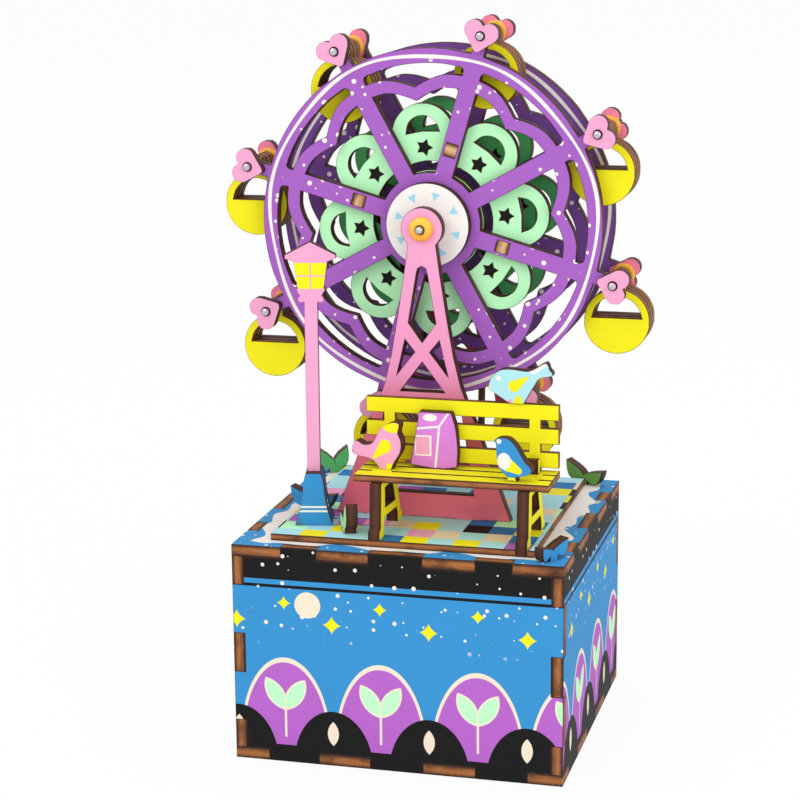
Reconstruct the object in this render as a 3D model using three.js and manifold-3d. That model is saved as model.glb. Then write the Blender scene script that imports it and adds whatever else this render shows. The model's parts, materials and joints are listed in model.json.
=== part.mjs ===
// Hand-cranked ferris wheel music box, built from laser-cut plywood sheets.
// Millimetres. X to the right, Y away from the front of the box, Z up.
// The origin is the centre of the box's underside.

import * as THREE from 'three';
import { mergeVertices } from 'three/addons/utils/BufferGeometryUtils.js';
import Module from 'manifold-3d';

const wasm = await Module();
wasm.setup();

// Sheets and clearances
const ply = 3.0;                 // box, wheel and scenery sheet
const thin_ply = 1.8;            // paving, seat and bench back sheet
const glue_gap = 0.05;           // glue line or laser kerf between fixed pieces
const running_gap = 0.3;         // beside pieces that turn
const cut_overrun = 1.0;         // how far a cutting tool passes a face
const on_axis = 0.001;           // a point this near the mirror line lies on it

// Box
const box_width = 85;
const box_depth = 82;
const box_height = 57;
const top_corner_finger = 12.8;
const base_corner_finger = 8.8;
const finger_from_middle = 7.0;
const finger_length = 13.2;
const upright_end_finger = 7.3;
const upright_mid_finger = 10.2;

// Paving
const paving_border_x = 8.6;
const paving_border_y = 6;
const paving_shift_x = 0.1;
const paving_shift_y = -0.5;

// Wheel and its place
const wheel_front_y = -6;        // front face of the hub plate
const spoke_count = 8;
const spoke_phase = 73.85;       // degrees from +X, anticlockwise seen from the front
const rim_radius = 44.5;
const rim_width = 3.8;
const pin_beyond_rim = 5.1;
const hub_ring_radius = 13.2;
const spoke_width = 4.6;
const band_width = 3.45;
const band_spoke_inside_rim = 6.0;
const band_bulge_inside_rim = 6.8;
const band_cusp_inside_rim = 9.7;
const lens_corner = 1.5;         // how far from its corner a window's rounding starts
const tab_width = 3.4;
const tab_eye_radius = 2.5;
const disc_spacing = 15;         // clear space between the two wheel discs

// Petals
const petal_centre_radius = 22.3;
const petal_lobe_radius = 8.2;
const petal_root_radius = 12.9;
const petal_root_half_width = 4.9;
const petal_slot_radius = 13.5;
const petal_slot_height = 2.3;
const petal_slot_half_width = 3.8;
const petal_slot_corner = 1.3;
const star_radius = 2.1;
const star_waist_share = 0.55;
const star_place_radius = 19.2;
const moon_place_radius = 22.9;
const moon_radius = 4.45;
const moon_chord_rise = 0.45;

// Spacers that hold the two wheel discs apart
const spacer_beyond_hub_ring = 6.4;
const spacer_tenon_width = 3.0;
const spacer_tenon_height = 3.4;
const spacer_shoulder = 1.4;
const spacer_every = 2;          // spokes from one spacer to the next

// Heart pins
const heart_width = 8.9;
const heart_lobe_radius = 2.45;
const heart_lobe_above_pin = 1.2;
const heart_tip_below_pin = 4.5;
const heart_tip_reach = 1.3;
const pin_radius = 0.95;
const pin_end_out = 1.2;
const washer_radius = 2.9;
const washer_thickness = 1.5;

// Gondolas
const gondola_radius = 8.4;
const gondola_drop = 10.3;       // pin to the middle of the round body
const gondola_ring = 1.9;
const gondola_floor_rise = 0.8;
const gondola_ear_radius = 2.3;
const gondola_plies = 3;
const gondola_front_gap = 1.0;

// Axle, bush and hub plate
const axle_radius = 1.0;
const axle_front_out = 3.3;      // steel end in front of the frame
const axle_sleeve_radius = 2.6;
const axle_head_radius = 2.2;
const axle_head_length = 1.6;
const bush_flange_radius = 3.1;
const bush_flange_thickness = 1.9;
const bush_sleeve_radius = 2.1;
const hub_plate_radius = 10.8;
const frame_gap = 3;             // frame to hub plate

// Frames
const frame_height = 75;         // paving to axle
const frame_hub_radius = 5.4;
const frame_neck_half_width = 3.65;
const frame_foot_half_width = 23.4;
const frame_tenon_width = 7;
const frame_tenon_from_middle = 12;

// Drive
const belt_radius = 0.95;
const wheel_pitch_radius = 8.4;
const crank_pitch_radius = 7.0;
const pulley_flange = 0.5;
const pulley_lip = 0.8;          // flange above the belt's centre line
const crank_below_top = 24;
const shaft_radius = 1.5;
const rear_frame_gap = 0.75;
const crank_throw = 19;
const crank_arm_half_width = 4;
const crank_arm_gap = 1.6;
const shaft_end_out = 0.8;
const knob_radius = 3.6;
const knob_length = 12;
const knob_pin_radius = 1.2;
const knob_neck_radius = 2.3;
const knob_head_radius = 1.9;
const knob_head_thickness = 0.7;

// Gears between the crank shaft and the music cylinder
const gear_module = 1.0;
const pinion_teeth = 14;
const gear_teeth = 28;
const gear_width = 3.5;
const pressure_angle = 25;       // degrees
const gear_backlash = 0.3;
const addendum_share = 0.8;
const dedendum_share = 1.1;

// Music movement
const cylinder_radius = 6.5;
const cylinder_length = 24;
const cylinder_rear_y = 4.6;
const movement_wall = 2.0;
const movement_floor = 2.6;
const movement_ledge_width = 5.2;
const movement_wall_radius = 5;
const comb_thickness = 0.9;
const comb_teeth = 14;
const comb_slit = 0.35;
const comb_bed = 4.6;

// Lamp
const lamp_from_paving_edge = 7.6;
const lamp_before_frame = 9.9;   // middle of the three sheets to the front frame
const lamp_turn = 13;            // degrees, faces a little to the right
const lamp_height = 72.6;
const lamp_roof_half_width = 6.45;
const lamp_foot_height = 13.6;
const lamp_foot_half_width = 4.7;

// Bench
const bench_shift_x = 11.85;     // right of the paving's centre line
const bench_before_frame = 5.4;
const bench_length = 49.7;
const seat_depth = 14.7;
const seat_height = 14.0;        // paving to the seat's underside
const seat_slats = 3;
const seat_slat_gap = 0.8;
const seat_bridge = 5.4;
const bench_leg_inset = 4.6;
const back_slats = 3;
const back_slat = 4.0;
const back_slat_gap = 2.1;
const back_lift = 1.0;
const leg_depth = 22.4;
const leg_front_out = 3.5;
const leg_tenon_height = 3.6;    // above the seat
const leg_tenon_depth = 1.9;

// Things on the bench
const bag_width = 12.3;
const bag_height = 14.5;
const bag_place_share = 0.370;   // along the bench from its left end
const pink_bird_width = 13.4;
const pink_bird_height = 12.2;
const pink_bird_place_share = 0.089;
const pink_bird_turn = -9;
const pink_bird_from_back = 4.9;
const blue_bird_width = 9.4;
const blue_bird_height = 10.8;
const blue_bird_place_share = 0.813;
const blue_bird_turn = -6;
const blue_bird_from_back = 9.95;
const sky_bird_width = 17.1;
const sky_bird_height = 10.7;
const sky_bird_place_share = 0.811;

// Leaf sprouts
const leaf_width = 4.2;
const sprout_stem = 2.6;
const sprout_stem_rise = 1.2;
const sprout_crotch_height = 2.6;
const sprout_crotch_shift = 0.3;
const sprout_beside_bench = 1.8;

// Faces and places that several pieces share
const paving_top = box_height + thin_ply;
const paving_width = box_width - 2 * paving_border_x;
const paving_depth = box_depth - 2 * paving_border_y;
const axle_height = paving_top + frame_height;
const crank_height = box_height - crank_below_top;
const pin_circle_radius = rim_radius + pin_beyond_rim;
const spacer_radius = hub_ring_radius + spacer_beyond_hub_ring;
const band_spoke_radius = rim_radius - band_spoke_inside_rim;
const band_bulge_radius = rim_radius - band_bulge_inside_rim;
const band_cusp_radius = rim_radius - band_cusp_inside_rim;
const hub_plate_y = wheel_front_y;
const front_disc_y = hub_plate_y + ply;
const front_petals_y = front_disc_y + ply;
const rear_disc_y = front_disc_y + ply + disc_spacing;
const rear_petals_y = rear_disc_y + ply;
const front_frame_y = hub_plate_y - frame_gap - ply;
const pulley_width = 2 * (belt_radius + running_gap + pulley_flange);
const pulley_y = rear_petals_y + ply + glue_gap;
const belt_y = pulley_y + pulley_width / 2;
const rear_frame_y = pulley_y + pulley_width + rear_frame_gap;
const rear_panel_y = box_depth / 2 - ply;
const crank_arm_y = box_depth / 2 + crank_arm_gap;
const spoke_step = 360 / spoke_count;
const belt_leans = (wheel_pitch_radius - crank_pitch_radius) / (axle_height - crank_height);
const belt_half_at_top = crank_pitch_radius + belt_leans * (box_height - crank_height);
const seat_z = paving_top + seat_height;
const seat_top = seat_z + thin_ply;
const bench_front_y = front_frame_y - bench_before_frame - seat_depth;
const bench_left = paving_shift_x + bench_shift_x - bench_length / 2;
const back_y = bench_front_y + seat_depth - thin_ply;
const leg_front_y = bench_front_y - leg_front_out;
const left_leg_x = bench_left + bench_leg_inset;
const right_leg_x = bench_left + bench_length - bench_leg_inset - ply;
const lamp_x = paving_shift_x - paving_width / 2 + lamp_from_paving_edge;
const lamp_y = front_frame_y - lamp_before_frame;
const wall_y = cylinder_rear_y + running_gap;
const gear_y = wall_y + movement_wall + running_gap;
const gear_distance = gear_module * (pinion_teeth + gear_teeth) / 2;

// Sprouts: places in shares of half the sheet they stand on; turns in degrees;
// each leaf as its length and its lean from upright in degrees
const sprout_shares = {
  sprout_back_right: { base: 'top', x: 0.795, y: 0.89, turn: -21, right: [7.3, 56], left: [8.2, 40] },
  sprout_back_left: { base: 'top', x: -0.878, y: 0.813, turn: 22, right: [8.3, 28], left: [8.4, 33] },
  sprout_front_left: { base: 'paving', x: -0.888, y: -0.294, turn: -9, right: [8.1, 57], left: [8.3, 45] },
  sprout_front_right: { base: 'top', x: 0.892, y: -0.873, turn: 56, right: [7.0, 46], left: [5.3, 46] },
  sprout_middle: { base: 'paving', byBench: true, y: -0.838, turn: -64, right: [8.6, 20], left: [6.6, 50] },
};

// Paint and metal
const paint = {
  night: 0x2f8fd6,
  pink: 0xf29ac6,
  purple: 0xb060d0,
  mint: 0xb0f2b8,
  yellow: 0xffeb12,
  orange: 0xffa020,
  white: 0xf5f2ec,
  sky: 0xa6dde4,
  blue: 0x3a96da,
  leaf: 0x4f9a50,
  paleLeaf: 0xa9d7a0,
  wood: 0xb98a58,
  black: 0x1c1b1b,
  steel: 0xc4c6ca,
  brass: 0xc9a24a,
};

const object = new THREE.Group();
const wheel = new THREE.Group();
wheel.position.set(0, 0, axle_height);
object.add(wheel);

// Solids and booleans
function solidOf(geometry) {
  const bare = geometry.clone();
  bare.deleteAttribute('normal');
  bare.deleteAttribute('uv');
  const merged = mergeVertices(bare);
  return new wasm.Manifold(new wasm.Mesh({
    numProp: 3,
    vertProperties: new Float32Array(merged.attributes.position.array),
    triVerts: new Uint32Array(merged.index.array),
  }));
}

function geometryOf(solid) {
  const mesh = solid.getMesh();
  const geometry = new THREE.BufferGeometry();
  geometry.setAttribute('position', new THREE.BufferAttribute(mesh.vertProperties, 3));
  geometry.setIndex(new THREE.BufferAttribute(mesh.triVerts, 1));
  geometry.computeVertexNormals();
  return geometry;
}

function cut(geometry, tools) {
  return geometryOf(tools.reduce((solid, tool) => solid.subtract(solidOf(tool)), solidOf(geometry)));
}

function join(geometries) {
  const [first, ...others] = geometries.map(solidOf);
  return geometryOf(others.reduce((solid, other) => solid.add(other), first));
}

function add(parent, name, geometry, color, roughness = 0.6, metalness = 0) {
  const mesh = new THREE.Mesh(geometry, new THREE.MeshStandardMaterial({ color, roughness, metalness }));
  mesh.name = name;
  parent.add(mesh);
  return mesh;
}

// Outlines: lists of points, with round stretches by formula
const at = (x, y) => new THREE.Vector2(x, y);
const middle = at(0, 0);
const radians = THREE.MathUtils.degToRad;

function polar(radius, angle, centre = middle) {
  return at(radius, 0).rotateAround(middle, radians(angle)).add(centre);
}

function arc(centre, radius, from, to, steps) {
  return Array.from({ length: steps + 1 }, (_, i) => polar(radius, from + (to - from) * i / steps, centre));
}

function circle(centre, radius, steps) {
  return arc(centre, radius, 0, 360, steps).slice(1);
}

// A hole whose flats, not its corners, lie at the radius
function hole(centre, radius, steps) {
  return circle(centre, radius / Math.cos(Math.PI / steps), steps);
}

function rectangle(centre, width, height, turn = 0) {
  const corners = [at(-width, -height), at(width, -height), at(width, height), at(-width, height)];
  return corners.map((corner) => corner.divideScalar(2).rotateAround(middle, radians(turn)).add(centre));
}

// A curve between two points that passes a third one halfway
function bend(from, through, to, steps) {
  const handle = through.clone().multiplyScalar(2).sub(from.clone().add(to).divideScalar(2));
  return new THREE.QuadraticBezierCurve(from, handle, to).getPoints(steps);
}

// A corner eased by a curve that starts a set reach before it
function eased(before, corner, after, reach) {
  const towards = (end) => end.clone().sub(corner).setLength(reach).add(corner);
  return new THREE.QuadraticBezierCurve(towards(before), corner, towards(after)).getPoints(3);
}

// Where a line from a point touches a circle, on the left of the line to its centre or on the right
function tangent(from, centre, radius, side) {
  const line = centre.clone().sub(from);
  const opening = Math.asin(radius / line.length());
  const reach = Math.sqrt(line.lengthSq() - radius * radius);
  return line.setLength(reach).rotateAround(middle, side * opening).add(from);
}

const angleOf = (point, centre) => THREE.MathUtils.radToDeg(Math.atan2(point.y - centre.y, point.x - centre.x));

// An outline given in shares of a width and a height
function scaled(shares, width, height) {
  return shares.map(([u, v]) => at(u * width, v * height));
}

// The right half of an outline, from bottom to top, and its mirror image
function mirrored(half) {
  const beside = half.filter((point) => point.x > on_axis);
  return half.concat(beside.map((point) => at(-point.x, point.y)).reverse());
}

function turnedBy(points, angle) {
  return points.map((point) => point.clone().rotateAround(middle, radians(angle)));
}

function moved(points, x, y) {
  return points.map((point) => at(point.x + x, point.y + y));
}

// Sheets that lie flat, stand across the box, or stand front to back
function lying(outline, holes, z, thickness) {
  const loops = [outline, ...holes].map((points) => points.map(({ x, y }) => [x, y]));
  const section = new wasm.CrossSection(loops, 'EvenOdd');
  return geometryOf(section.extrude(thickness)).translate(0, 0, z);
}

function standing(outline, holes, y, thickness) {
  return lying(outline, holes, 0, thickness).rotateX(Math.PI / 2).translate(0, y + thickness, 0);
}

function sideways(outline, holes, x, thickness) {
  const yAxis = new THREE.Vector3(0, 1, 0);
  const zAxis = new THREE.Vector3(0, 0, 1);
  const xAxis = new THREE.Vector3(1, 0, 0);
  const turn = new THREE.Matrix4().makeBasis(yAxis, zAxis, xAxis);
  return lying(outline, holes, 0, thickness).applyMatrix4(turn).translate(x, 0, 0);
}

// A piece turned about the Y axis; the profile holds pairs of radius and y
function turned(profile, segments) {
  return new THREE.LatheGeometry(profile.map(([radius, y]) => at(radius, y)), segments);
}

function rod(radius, from, to, segments) {
  return turned([[0, from], [radius, from], [radius, to], [0, to]], segments);
}

// Finger joints
// Where a flat sheet reaches the outside along an edge, measured from the edge's middle
function flatFingers(length, corner) {
  const inner = [finger_from_middle, finger_from_middle + finger_length];
  const outer = [length / 2 - corner, length / 2];
  return [inner, outer, [-inner[1], -inner[0]], [-outer[1], -outer[0]]].sort((a, b) => a[0] - b[0]);
}

// Where a side panel reaches the outside along an upright corner
function uprightFingers() {
  const end = box_height / 2;
  const start = end - ply - upright_end_finger;
  return [[-end, -start], [-upright_mid_finger / 2, upright_mid_finger / 2], [start, end]];
}

// The stretches left between fingers, less the kerf
function between(fingers) {
  return fingers.slice(1).map(([next], i) => [fingers[i][1] + glue_gap, next - glue_gap]);
}

// A rectangle with fingers on its four edges, from the bottom one anticlockwise
function fingered(width, height, edges, depth) {
  const sides = edges.map((fingers, i) => ({
    fingers,
    along: at(1, 0).rotateAround(middle, i * Math.PI / 2),
    outward: at(0, -1).rotateAround(middle, i * Math.PI / 2),
    half: (i % 2 ? height : width) / 2,
    out: (i % 2 ? width : height) / 2,
  }));
  const level = (side, place) => {
    const inFinger = side.fingers.some(([from, to]) => place > from && place < to);
    return side.outward.clone().multiplyScalar(side.out - (inFinger ? 0 : depth));
  };
  return sides.flatMap((side, i) => {
    const before = sides[(i + 3) % 4];
    const nearly = side.half - glue_gap / 2;
    const corner = level(before, before.half - glue_gap / 2).add(level(side, -nearly));
    const steps = side.fingers.flat().filter((step) => Math.abs(step) < nearly);
    const jogs = steps.flatMap((step) => [step - glue_gap / 2, step + glue_gap / 2].map((place) => (
      side.along.clone().multiplyScalar(step).add(level(side, place))
    )));
    return [corner, ...jogs];
  });
}

// Slots and tenons
function frameSlots() {
  const places = [front_frame_y, rear_frame_y].flatMap((y) => [-1, 1].map((side) => (
    at(side * frame_tenon_from_middle, y + ply / 2)
  )));
  return places.map((place) => rectangle(place, frame_tenon_width + 2 * glue_gap, ply + 2 * glue_gap));
}

function beltSlots() {
  const radius = belt_radius + 3 * running_gap;
  return [-1, 1].map((side) => hole(at(side * belt_half_at_top, belt_y), radius, 8));
}

function sproutPlaces() {
  const sheets = {
    top: { centre: middle, half: at(box_width / 2, box_depth / 2) },
    paving: { centre: at(paving_shift_x, paving_shift_y), half: at(paving_width / 2, paving_depth / 2) },
  };
  return Object.entries(sprout_shares).map(([name, place]) => {
    const { centre, half } = sheets[place.base];
    const x = place.byBench ? bench_left - sprout_beside_bench : centre.x + place.x * half.x;
    return { ...place, name, x, y: centre.y + place.y * half.y };
  });
}

function sproutSlots(base) {
  return sproutPlaces().filter((place) => place.base === base).map(({ x, y, turn }) => (
    rectangle(at(x, y), sprout_stem + 2 * glue_gap, ply + 2 * glue_gap, turn)
  ));
}

// The box
function flatPanel(corner, holes, z) {
  const edges = [box_width, box_depth, box_width, box_depth].map((length) => flatFingers(length, corner));
  return lying(fingered(box_width, box_depth, edges, ply), holes, z, ply);
}

function wallOutline(length, ends) {
  const base = between(flatFingers(length, base_corner_finger));
  const top = between(flatFingers(length, top_corner_finger));
  const outline = fingered(length, box_height, [base, ends, top, ends], ply + glue_gap);
  return moved(outline, 0, box_height / 2);
}

function buildBox() {
  const across = wallOutline(box_width, between(uprightFingers()));
  const along = wallOutline(box_depth, uprightFingers());
  const shaftHole = hole(at(0, crank_height), shaft_radius + running_gap, 14);
  const topHoles = [...frameSlots(), ...beltSlots(), ...sproutSlots('top')];
  add(object, 'bottom_panel', flatPanel(base_corner_finger, [], 0), paint.wood);
  add(object, 'front_panel', standing(across, [], -box_depth / 2, ply), paint.night);
  add(object, 'rear_panel', standing(across, [shaftHole], rear_panel_y, ply), paint.night);
  add(object, 'left_panel', sideways(along, [], -box_width / 2, ply), paint.night);
  add(object, 'right_panel', sideways(along, [], box_width / 2 - ply, ply), paint.night);
  add(object, 'top_panel', flatPanel(top_corner_finger, topHoles, box_height - ply), paint.night);
}

// The paving, notched at the front for the bench's right leg
function buildPaving() {
  const outline = rectangle(at(paving_shift_x, paving_shift_y), paving_width, paving_depth);
  const lampSlot = rectangle(at(lamp_x, lamp_y), lampTenonWidth() + 2 * glue_gap, ply + 2 * glue_gap, lamp_turn);
  const holes = [...frameSlots(), ...beltSlots(), ...sproutSlots('paving'), lampSlot];
  const notchDepth = leg_depth * leg_foot_share + 2 * glue_gap + cut_overrun;
  const notchCentre = at(right_leg_x + ply / 2, leg_front_y + glue_gap - cut_overrun + notchDepth / 2);
  const notch = rectangle(notchCentre, ply + 2 * glue_gap, notchDepth);
  const tool = lying(notch, [], box_height - cut_overrun, thin_ply + 2 * cut_overrun);
  add(object, 'paving', cut(lying(outline, holes, box_height, thin_ply), [tool]), paint.sky);
}

// The two frames that carry the axle
// Half widths and heights, in shares of the foot's half width and of the frame's height to the axle
const frame_side_shares = [
  [0.987, 0.0213], [0.979, 0.072], [0.88, 0.101], [0.816, 0.188], [0.59, 0.34], [0.489, 0.413], [0.423, 0.469],
  [0.348, 0.567], [0.269, 0.709], [0.192, 0.863],
];
const frame_slot_shares = [[0, 0.612], [0.154, 0.679], [0.06, 0.85], [0.045, 0.866], [0, 0.874]];
const frame_side_hole_shares = [[0.192, 0.621], [0.083, 0.579], [0.286, 0.498]];
const frame_low_hole_shares = [[0.25, 0.441], [0, 0.545]];
const frame_opening_shares = [[0.573, 0.085], [0.423, 0.392]];

function frameOutline() {
  const side = scaled(frame_side_shares, frame_foot_half_width, frame_height);
  const hub = at(0, frame_height);
  const neckAngle = THREE.MathUtils.radToDeg(Math.asin(frame_neck_half_width / frame_hub_radius)) - 90;
  const right = [...side, ...arc(hub, frame_hub_radius, neckAngle, 90, 6)];
  const inner = frame_tenon_from_middle - frame_tenon_width / 2;
  const depth = ply + thin_ply;
  const outer = inner + frame_tenon_width;
  const tenon = [at(inner, side[0].y), at(inner, -depth), at(outer, -depth), at(outer, side[0].y)];
  return mirrored([...tenon, ...right]);
}

function frame(boreRadius, y) {
  const sideHole = scaled(frame_side_hole_shares, frame_foot_half_width, frame_height);
  const holes = [
    ...[frame_slot_shares, frame_low_hole_shares, frame_opening_shares].map((shares) => (
      mirrored(scaled(shares, frame_foot_half_width, frame_height))
    )),
    sideHole,
    sideHole.map((point) => at(-point.x, point.y)),
    hole(at(0, frame_height), boreRadius, 12),
  ];
  return standing(frameOutline(), holes, y, ply).translate(0, 0, paving_top);
}

function buildFrames() {
  add(object, 'front_frame', frame(bush_sleeve_radius + glue_gap, front_frame_y), paint.pink);
  add(object, 'rear_frame', frame(axle_radius + running_gap, rear_frame_y), paint.pink);
  const bore = axle_radius + running_gap;
  const face = front_frame_y - glue_gap;
  const bush = turned([
    [bore, face - bush_flange_thickness],
    [bush_flange_radius, face - bush_flange_thickness],
    [bush_flange_radius, face],
    [bush_sleeve_radius, face],
    [bush_sleeve_radius, front_frame_y + ply],
    [bore, front_frame_y + ply],
    [bore, face - bush_flange_thickness],
  ], 12);
  const mesh = add(object, 'front_bush', bush, paint.orange, 0.5);
  mesh.position.z = axle_height;
}

// Wheel discs
function discOutline() {
  const eyeOpening = THREE.MathUtils.radToDeg(Math.asin(tab_width / 2 / tab_eye_radius));
  const tabOpening = THREE.MathUtils.radToDeg(Math.asin(tab_width / 2 / rim_radius));
  const outline = [];
  for (let k = 0; k < spoke_count; k += 1) {
    const spoke = spoke_phase + k * spoke_step;
    const pin = polar(pin_circle_radius, spoke);
    outline.push(...arc(pin, tab_eye_radius, spoke - 180 + eyeOpening, spoke + 180 - eyeOpening, 6));
    outline.push(...arc(middle, rim_radius, spoke + tabOpening, spoke + spoke_step - tabOpening, 5));
  }
  return outline;
}

// One half of the scalloped band's edge, from a spoke's side to the cusp halfway to the next spoke
function bandEdge(inward, steps) {
  const spokeSide = at(band_spoke_radius - inward, spoke_width / 2);
  const bulge = polar(band_bulge_radius - inward, spoke_step / 4 + 1);
  return bend(spokeSide, bulge, polar(band_cusp_radius - inward, spoke_step / 2), steps);
}

// The same edge from the cusp to the next spoke
function bandReturn(inward, steps) {
  const flip = (point) => at(point.x, -point.y).rotateAround(middle, radians(spoke_step));
  return bandEdge(inward, steps).map(flip).reverse().slice(1);
}

function discWindows() {
  const hubOpening = THREE.MathUtils.radToDeg(Math.asin(spoke_width / 2 / hub_ring_radius));
  const rimInner = rim_radius - rim_width;
  const rimOpening = THREE.MathUtils.radToDeg(Math.asin(spoke_width / 2 / rimInner));
  const wedge = [
    ...arc(middle, hub_ring_radius, spoke_step - hubOpening, hubOpening, 2),
    ...bandEdge(band_width, 3),
    ...bandReturn(band_width, 3),
  ];
  const rim = arc(middle, rimInner, spoke_step - rimOpening, rimOpening, 5);
  const band = [...bandEdge(0, 3), ...bandReturn(0, 3)];
  const lens = [
    ...eased(band.at(-1), rim[0], rim[1], lens_corner),
    ...rim.slice(1, -1),
    ...eased(rim.at(-2), rim.at(-1), band[0], lens_corner),
    ...band,
  ];
  return Array.from({ length: spoke_count }, (_, k) => spoke_phase + k * spoke_step)
    .flatMap((spoke) => [turnedBy(wedge, spoke), turnedBy(lens, spoke)]);
}

// Places of the spacers, which sit on every second spoke
function spacerAngles() {
  return Array.from({ length: spoke_count / spacer_every }, (_, k) => spoke_phase + k * spacer_every * spoke_step);
}

function spacerHoles(gap) {
  const width = spacer_tenon_width + 2 * gap;
  const height = spacer_tenon_height + 2 * gap;
  return spacerAngles().map((angle) => rectangle(polar(spacer_radius, angle), height, width, angle));
}

function wheelDisc(y) {
  const pins = Array.from({ length: spoke_count }, (_, k) => (
    hole(polar(pin_circle_radius, spoke_phase + k * spoke_step), pin_radius + glue_gap, 6)
  ));
  const bore = hole(middle, axle_radius + glue_gap, 8);
  return standing(discOutline(), [...discWindows(), ...spacerHoles(glue_gap), ...pins, bore], y, ply);
}

// Petal plates, one behind each disc
function petalOutline() {
  const centre = at(petal_centre_radius, 0);
  const root = at(petal_root_radius, petal_root_half_width);
  const touch = tangent(root, centre, petal_lobe_radius, 1);
  const angle = angleOf(touch, centre);
  const petal = [at(root.x, -root.y), ...arc(centre, petal_lobe_radius, -angle, angle, 8), root];
  return petalAngles().flatMap((turn) => turnedBy(petal, turn));
}

const petalAngles = () => Array.from({ length: spoke_count }, (_, k) => spoke_phase + (k + 0.5) * spoke_step);

function star(centre, radius, turn) {
  const points = Array.from({ length: 10 }, (_, i) => polar(i % 2 ? radius * star_waist_share : radius, turn + i * 36));
  return moved(points, centre.x, centre.y);
}

function petalHoles() {
  const opening = THREE.MathUtils.radToDeg(petal_slot_half_width / petal_slot_radius);
  const low = arc(middle, petal_slot_radius, -opening, opening, 2);
  const top = arc(middle, petal_slot_radius + petal_slot_height, opening * slot_top_share, -opening * slot_top_share, 2);
  const slot = [
    ...low,
    ...eased(low.at(-1), top[0], top[1], petal_slot_corner),
    ...top.slice(1, -1),
    ...eased(top.at(-2), top.at(-1), low[0], petal_slot_corner),
  ];
  const moon = [
    ...arc(at(moon_place_radius, 0), moon_radius, -90, 90, 5),
    at(moon_place_radius + moon_chord_rise, 0),
  ];
  // The stars all point the same way, so each is turned back by its petal's own angle
  const holes = (turn) => [slot, star(at(star_place_radius, 0), star_radius, -turn), moon];
  return petalAngles().flatMap((turn) => holes(turn).map((outline) => turnedBy(outline, turn)));
}
const slot_top_share = 0.95;

function petalPlate(y) {
  const bore = hole(middle, axle_radius + glue_gap, 8);
  const plate = standing(petalOutline(), [...petalHoles(), bore], y, ply);
  const tools = spacerHoles(glue_gap).map((slot) => standing(slot, [], y - cut_overrun, ply + 2 * cut_overrun));
  return cut(plate, tools);
}

// A spacer: shoulders between the petal plate and the rear disc, tenons through the sheets
function spacer(angle) {
  const front = front_disc_y;
  const rear = rear_petals_y + ply;
  const shoulderFront = front_petals_y + ply + glue_gap;
  const shoulderRear = rear_disc_y - glue_gap;
  const half = spacer_tenon_width / 2;
  const wide = half + spacer_shoulder;
  const outline = [
    at(-half, front), at(half, front), at(half, shoulderFront), at(wide, shoulderFront),
    at(wide, shoulderRear), at(half, shoulderRear), at(half, rear), at(-half, rear),
    at(-half, shoulderRear), at(-wide, shoulderRear), at(-wide, shoulderFront), at(-half, shoulderFront),
  ];
  const bar = lying(outline, [], -spacer_tenon_height / 2, spacer_tenon_height);
  const place = polar(spacer_radius, angle);
  return bar.rotateY(radians(90 - angle)).translate(place.x, 0, place.y);
}

function buildWheel() {
  add(wheel, 'front_wheel_disc', wheelDisc(front_disc_y), paint.purple);
  add(wheel, 'front_petals', petalPlate(front_petals_y), paint.mint);
  add(wheel, 'rear_wheel_disc', wheelDisc(rear_disc_y), paint.purple);
  add(wheel, 'rear_petals', petalPlate(rear_petals_y), paint.mint);
  const bore = hole(middle, axle_radius + glue_gap, 8);
  add(wheel, 'hub_plate', standing(circle(middle, hub_plate_radius, 24), [bore], hub_plate_y, ply), paint.white);
  spacerAngles().forEach((angle, k) => add(wheel, `wheel_spacer_${k + 1}`, spacer(angle), paint.wood));
}

// The steel axle, with its sleeve between the discs, collars and rear head
function buildAxle() {
  const collarFront = front_frame_y + ply + running_gap;
  const collarRear = rear_frame_y - running_gap;
  const rearHead = rear_frame_y + ply + running_gap;
  const axle = turned([
    [0, front_frame_y - axle_front_out],
    [axle_radius, front_frame_y - axle_front_out],
    [axle_radius, collarFront],
    [axle_sleeve_radius, collarFront],
    [axle_sleeve_radius, hub_plate_y - glue_gap],
    [axle_radius, hub_plate_y - glue_gap],
    [axle_radius, front_petals_y + ply + glue_gap],
    [axle_sleeve_radius, front_petals_y + ply + glue_gap],
    [axle_sleeve_radius, rear_disc_y - glue_gap],
    [axle_radius, rear_disc_y - glue_gap],
    [axle_radius, pulley_y + pulley_width + glue_gap],
    [axle_sleeve_radius, pulley_y + pulley_width + glue_gap],
    [axle_sleeve_radius, collarRear],
    [axle_radius, collarRear],
    [axle_radius, rearHead],
    [axle_head_radius, rearHead],
    [axle_head_radius, rearHead + axle_head_length],
    [0, rearHead + axle_head_length],
  ], 10);
  add(wheel, 'axle', axle, paint.steel, 0.35, 1);
}

// Hearts
function heartOutline() {
  const centre = at(heart_width / 2 - heart_lobe_radius, heart_lobe_above_pin);
  const tip = at(0, -heart_tip_below_pin);
  const touch = tangent(tip, centre, heart_lobe_radius, -1);
  const cleft = at(0, centre.y + Math.sqrt(heart_lobe_radius ** 2 - centre.x ** 2));
  const blunt = eased(at(-touch.x, touch.y), tip, touch, heart_tip_reach).slice(2);
  return mirrored([...blunt, ...arc(centre, heart_lobe_radius, angleOf(touch, centre), angleOf(cleft, centre), 5)]);
}

// A heart pin: both hearts and the washer on one steel pin
function heartPin() {
  const front = front_disc_y - glue_gap - ply;
  const rear = rear_disc_y - glue_gap - ply;
  return join([
    standing(heartOutline(), [], front, ply),
    standing(heartOutline(), [], rear, ply),
    rod(washer_radius, rear - washer_thickness, rear + ply / 2, 8),
    rod(pin_radius, front - pin_end_out, rear_disc_y + ply + pin_end_out / 2, 6),
  ]);
}

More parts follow.
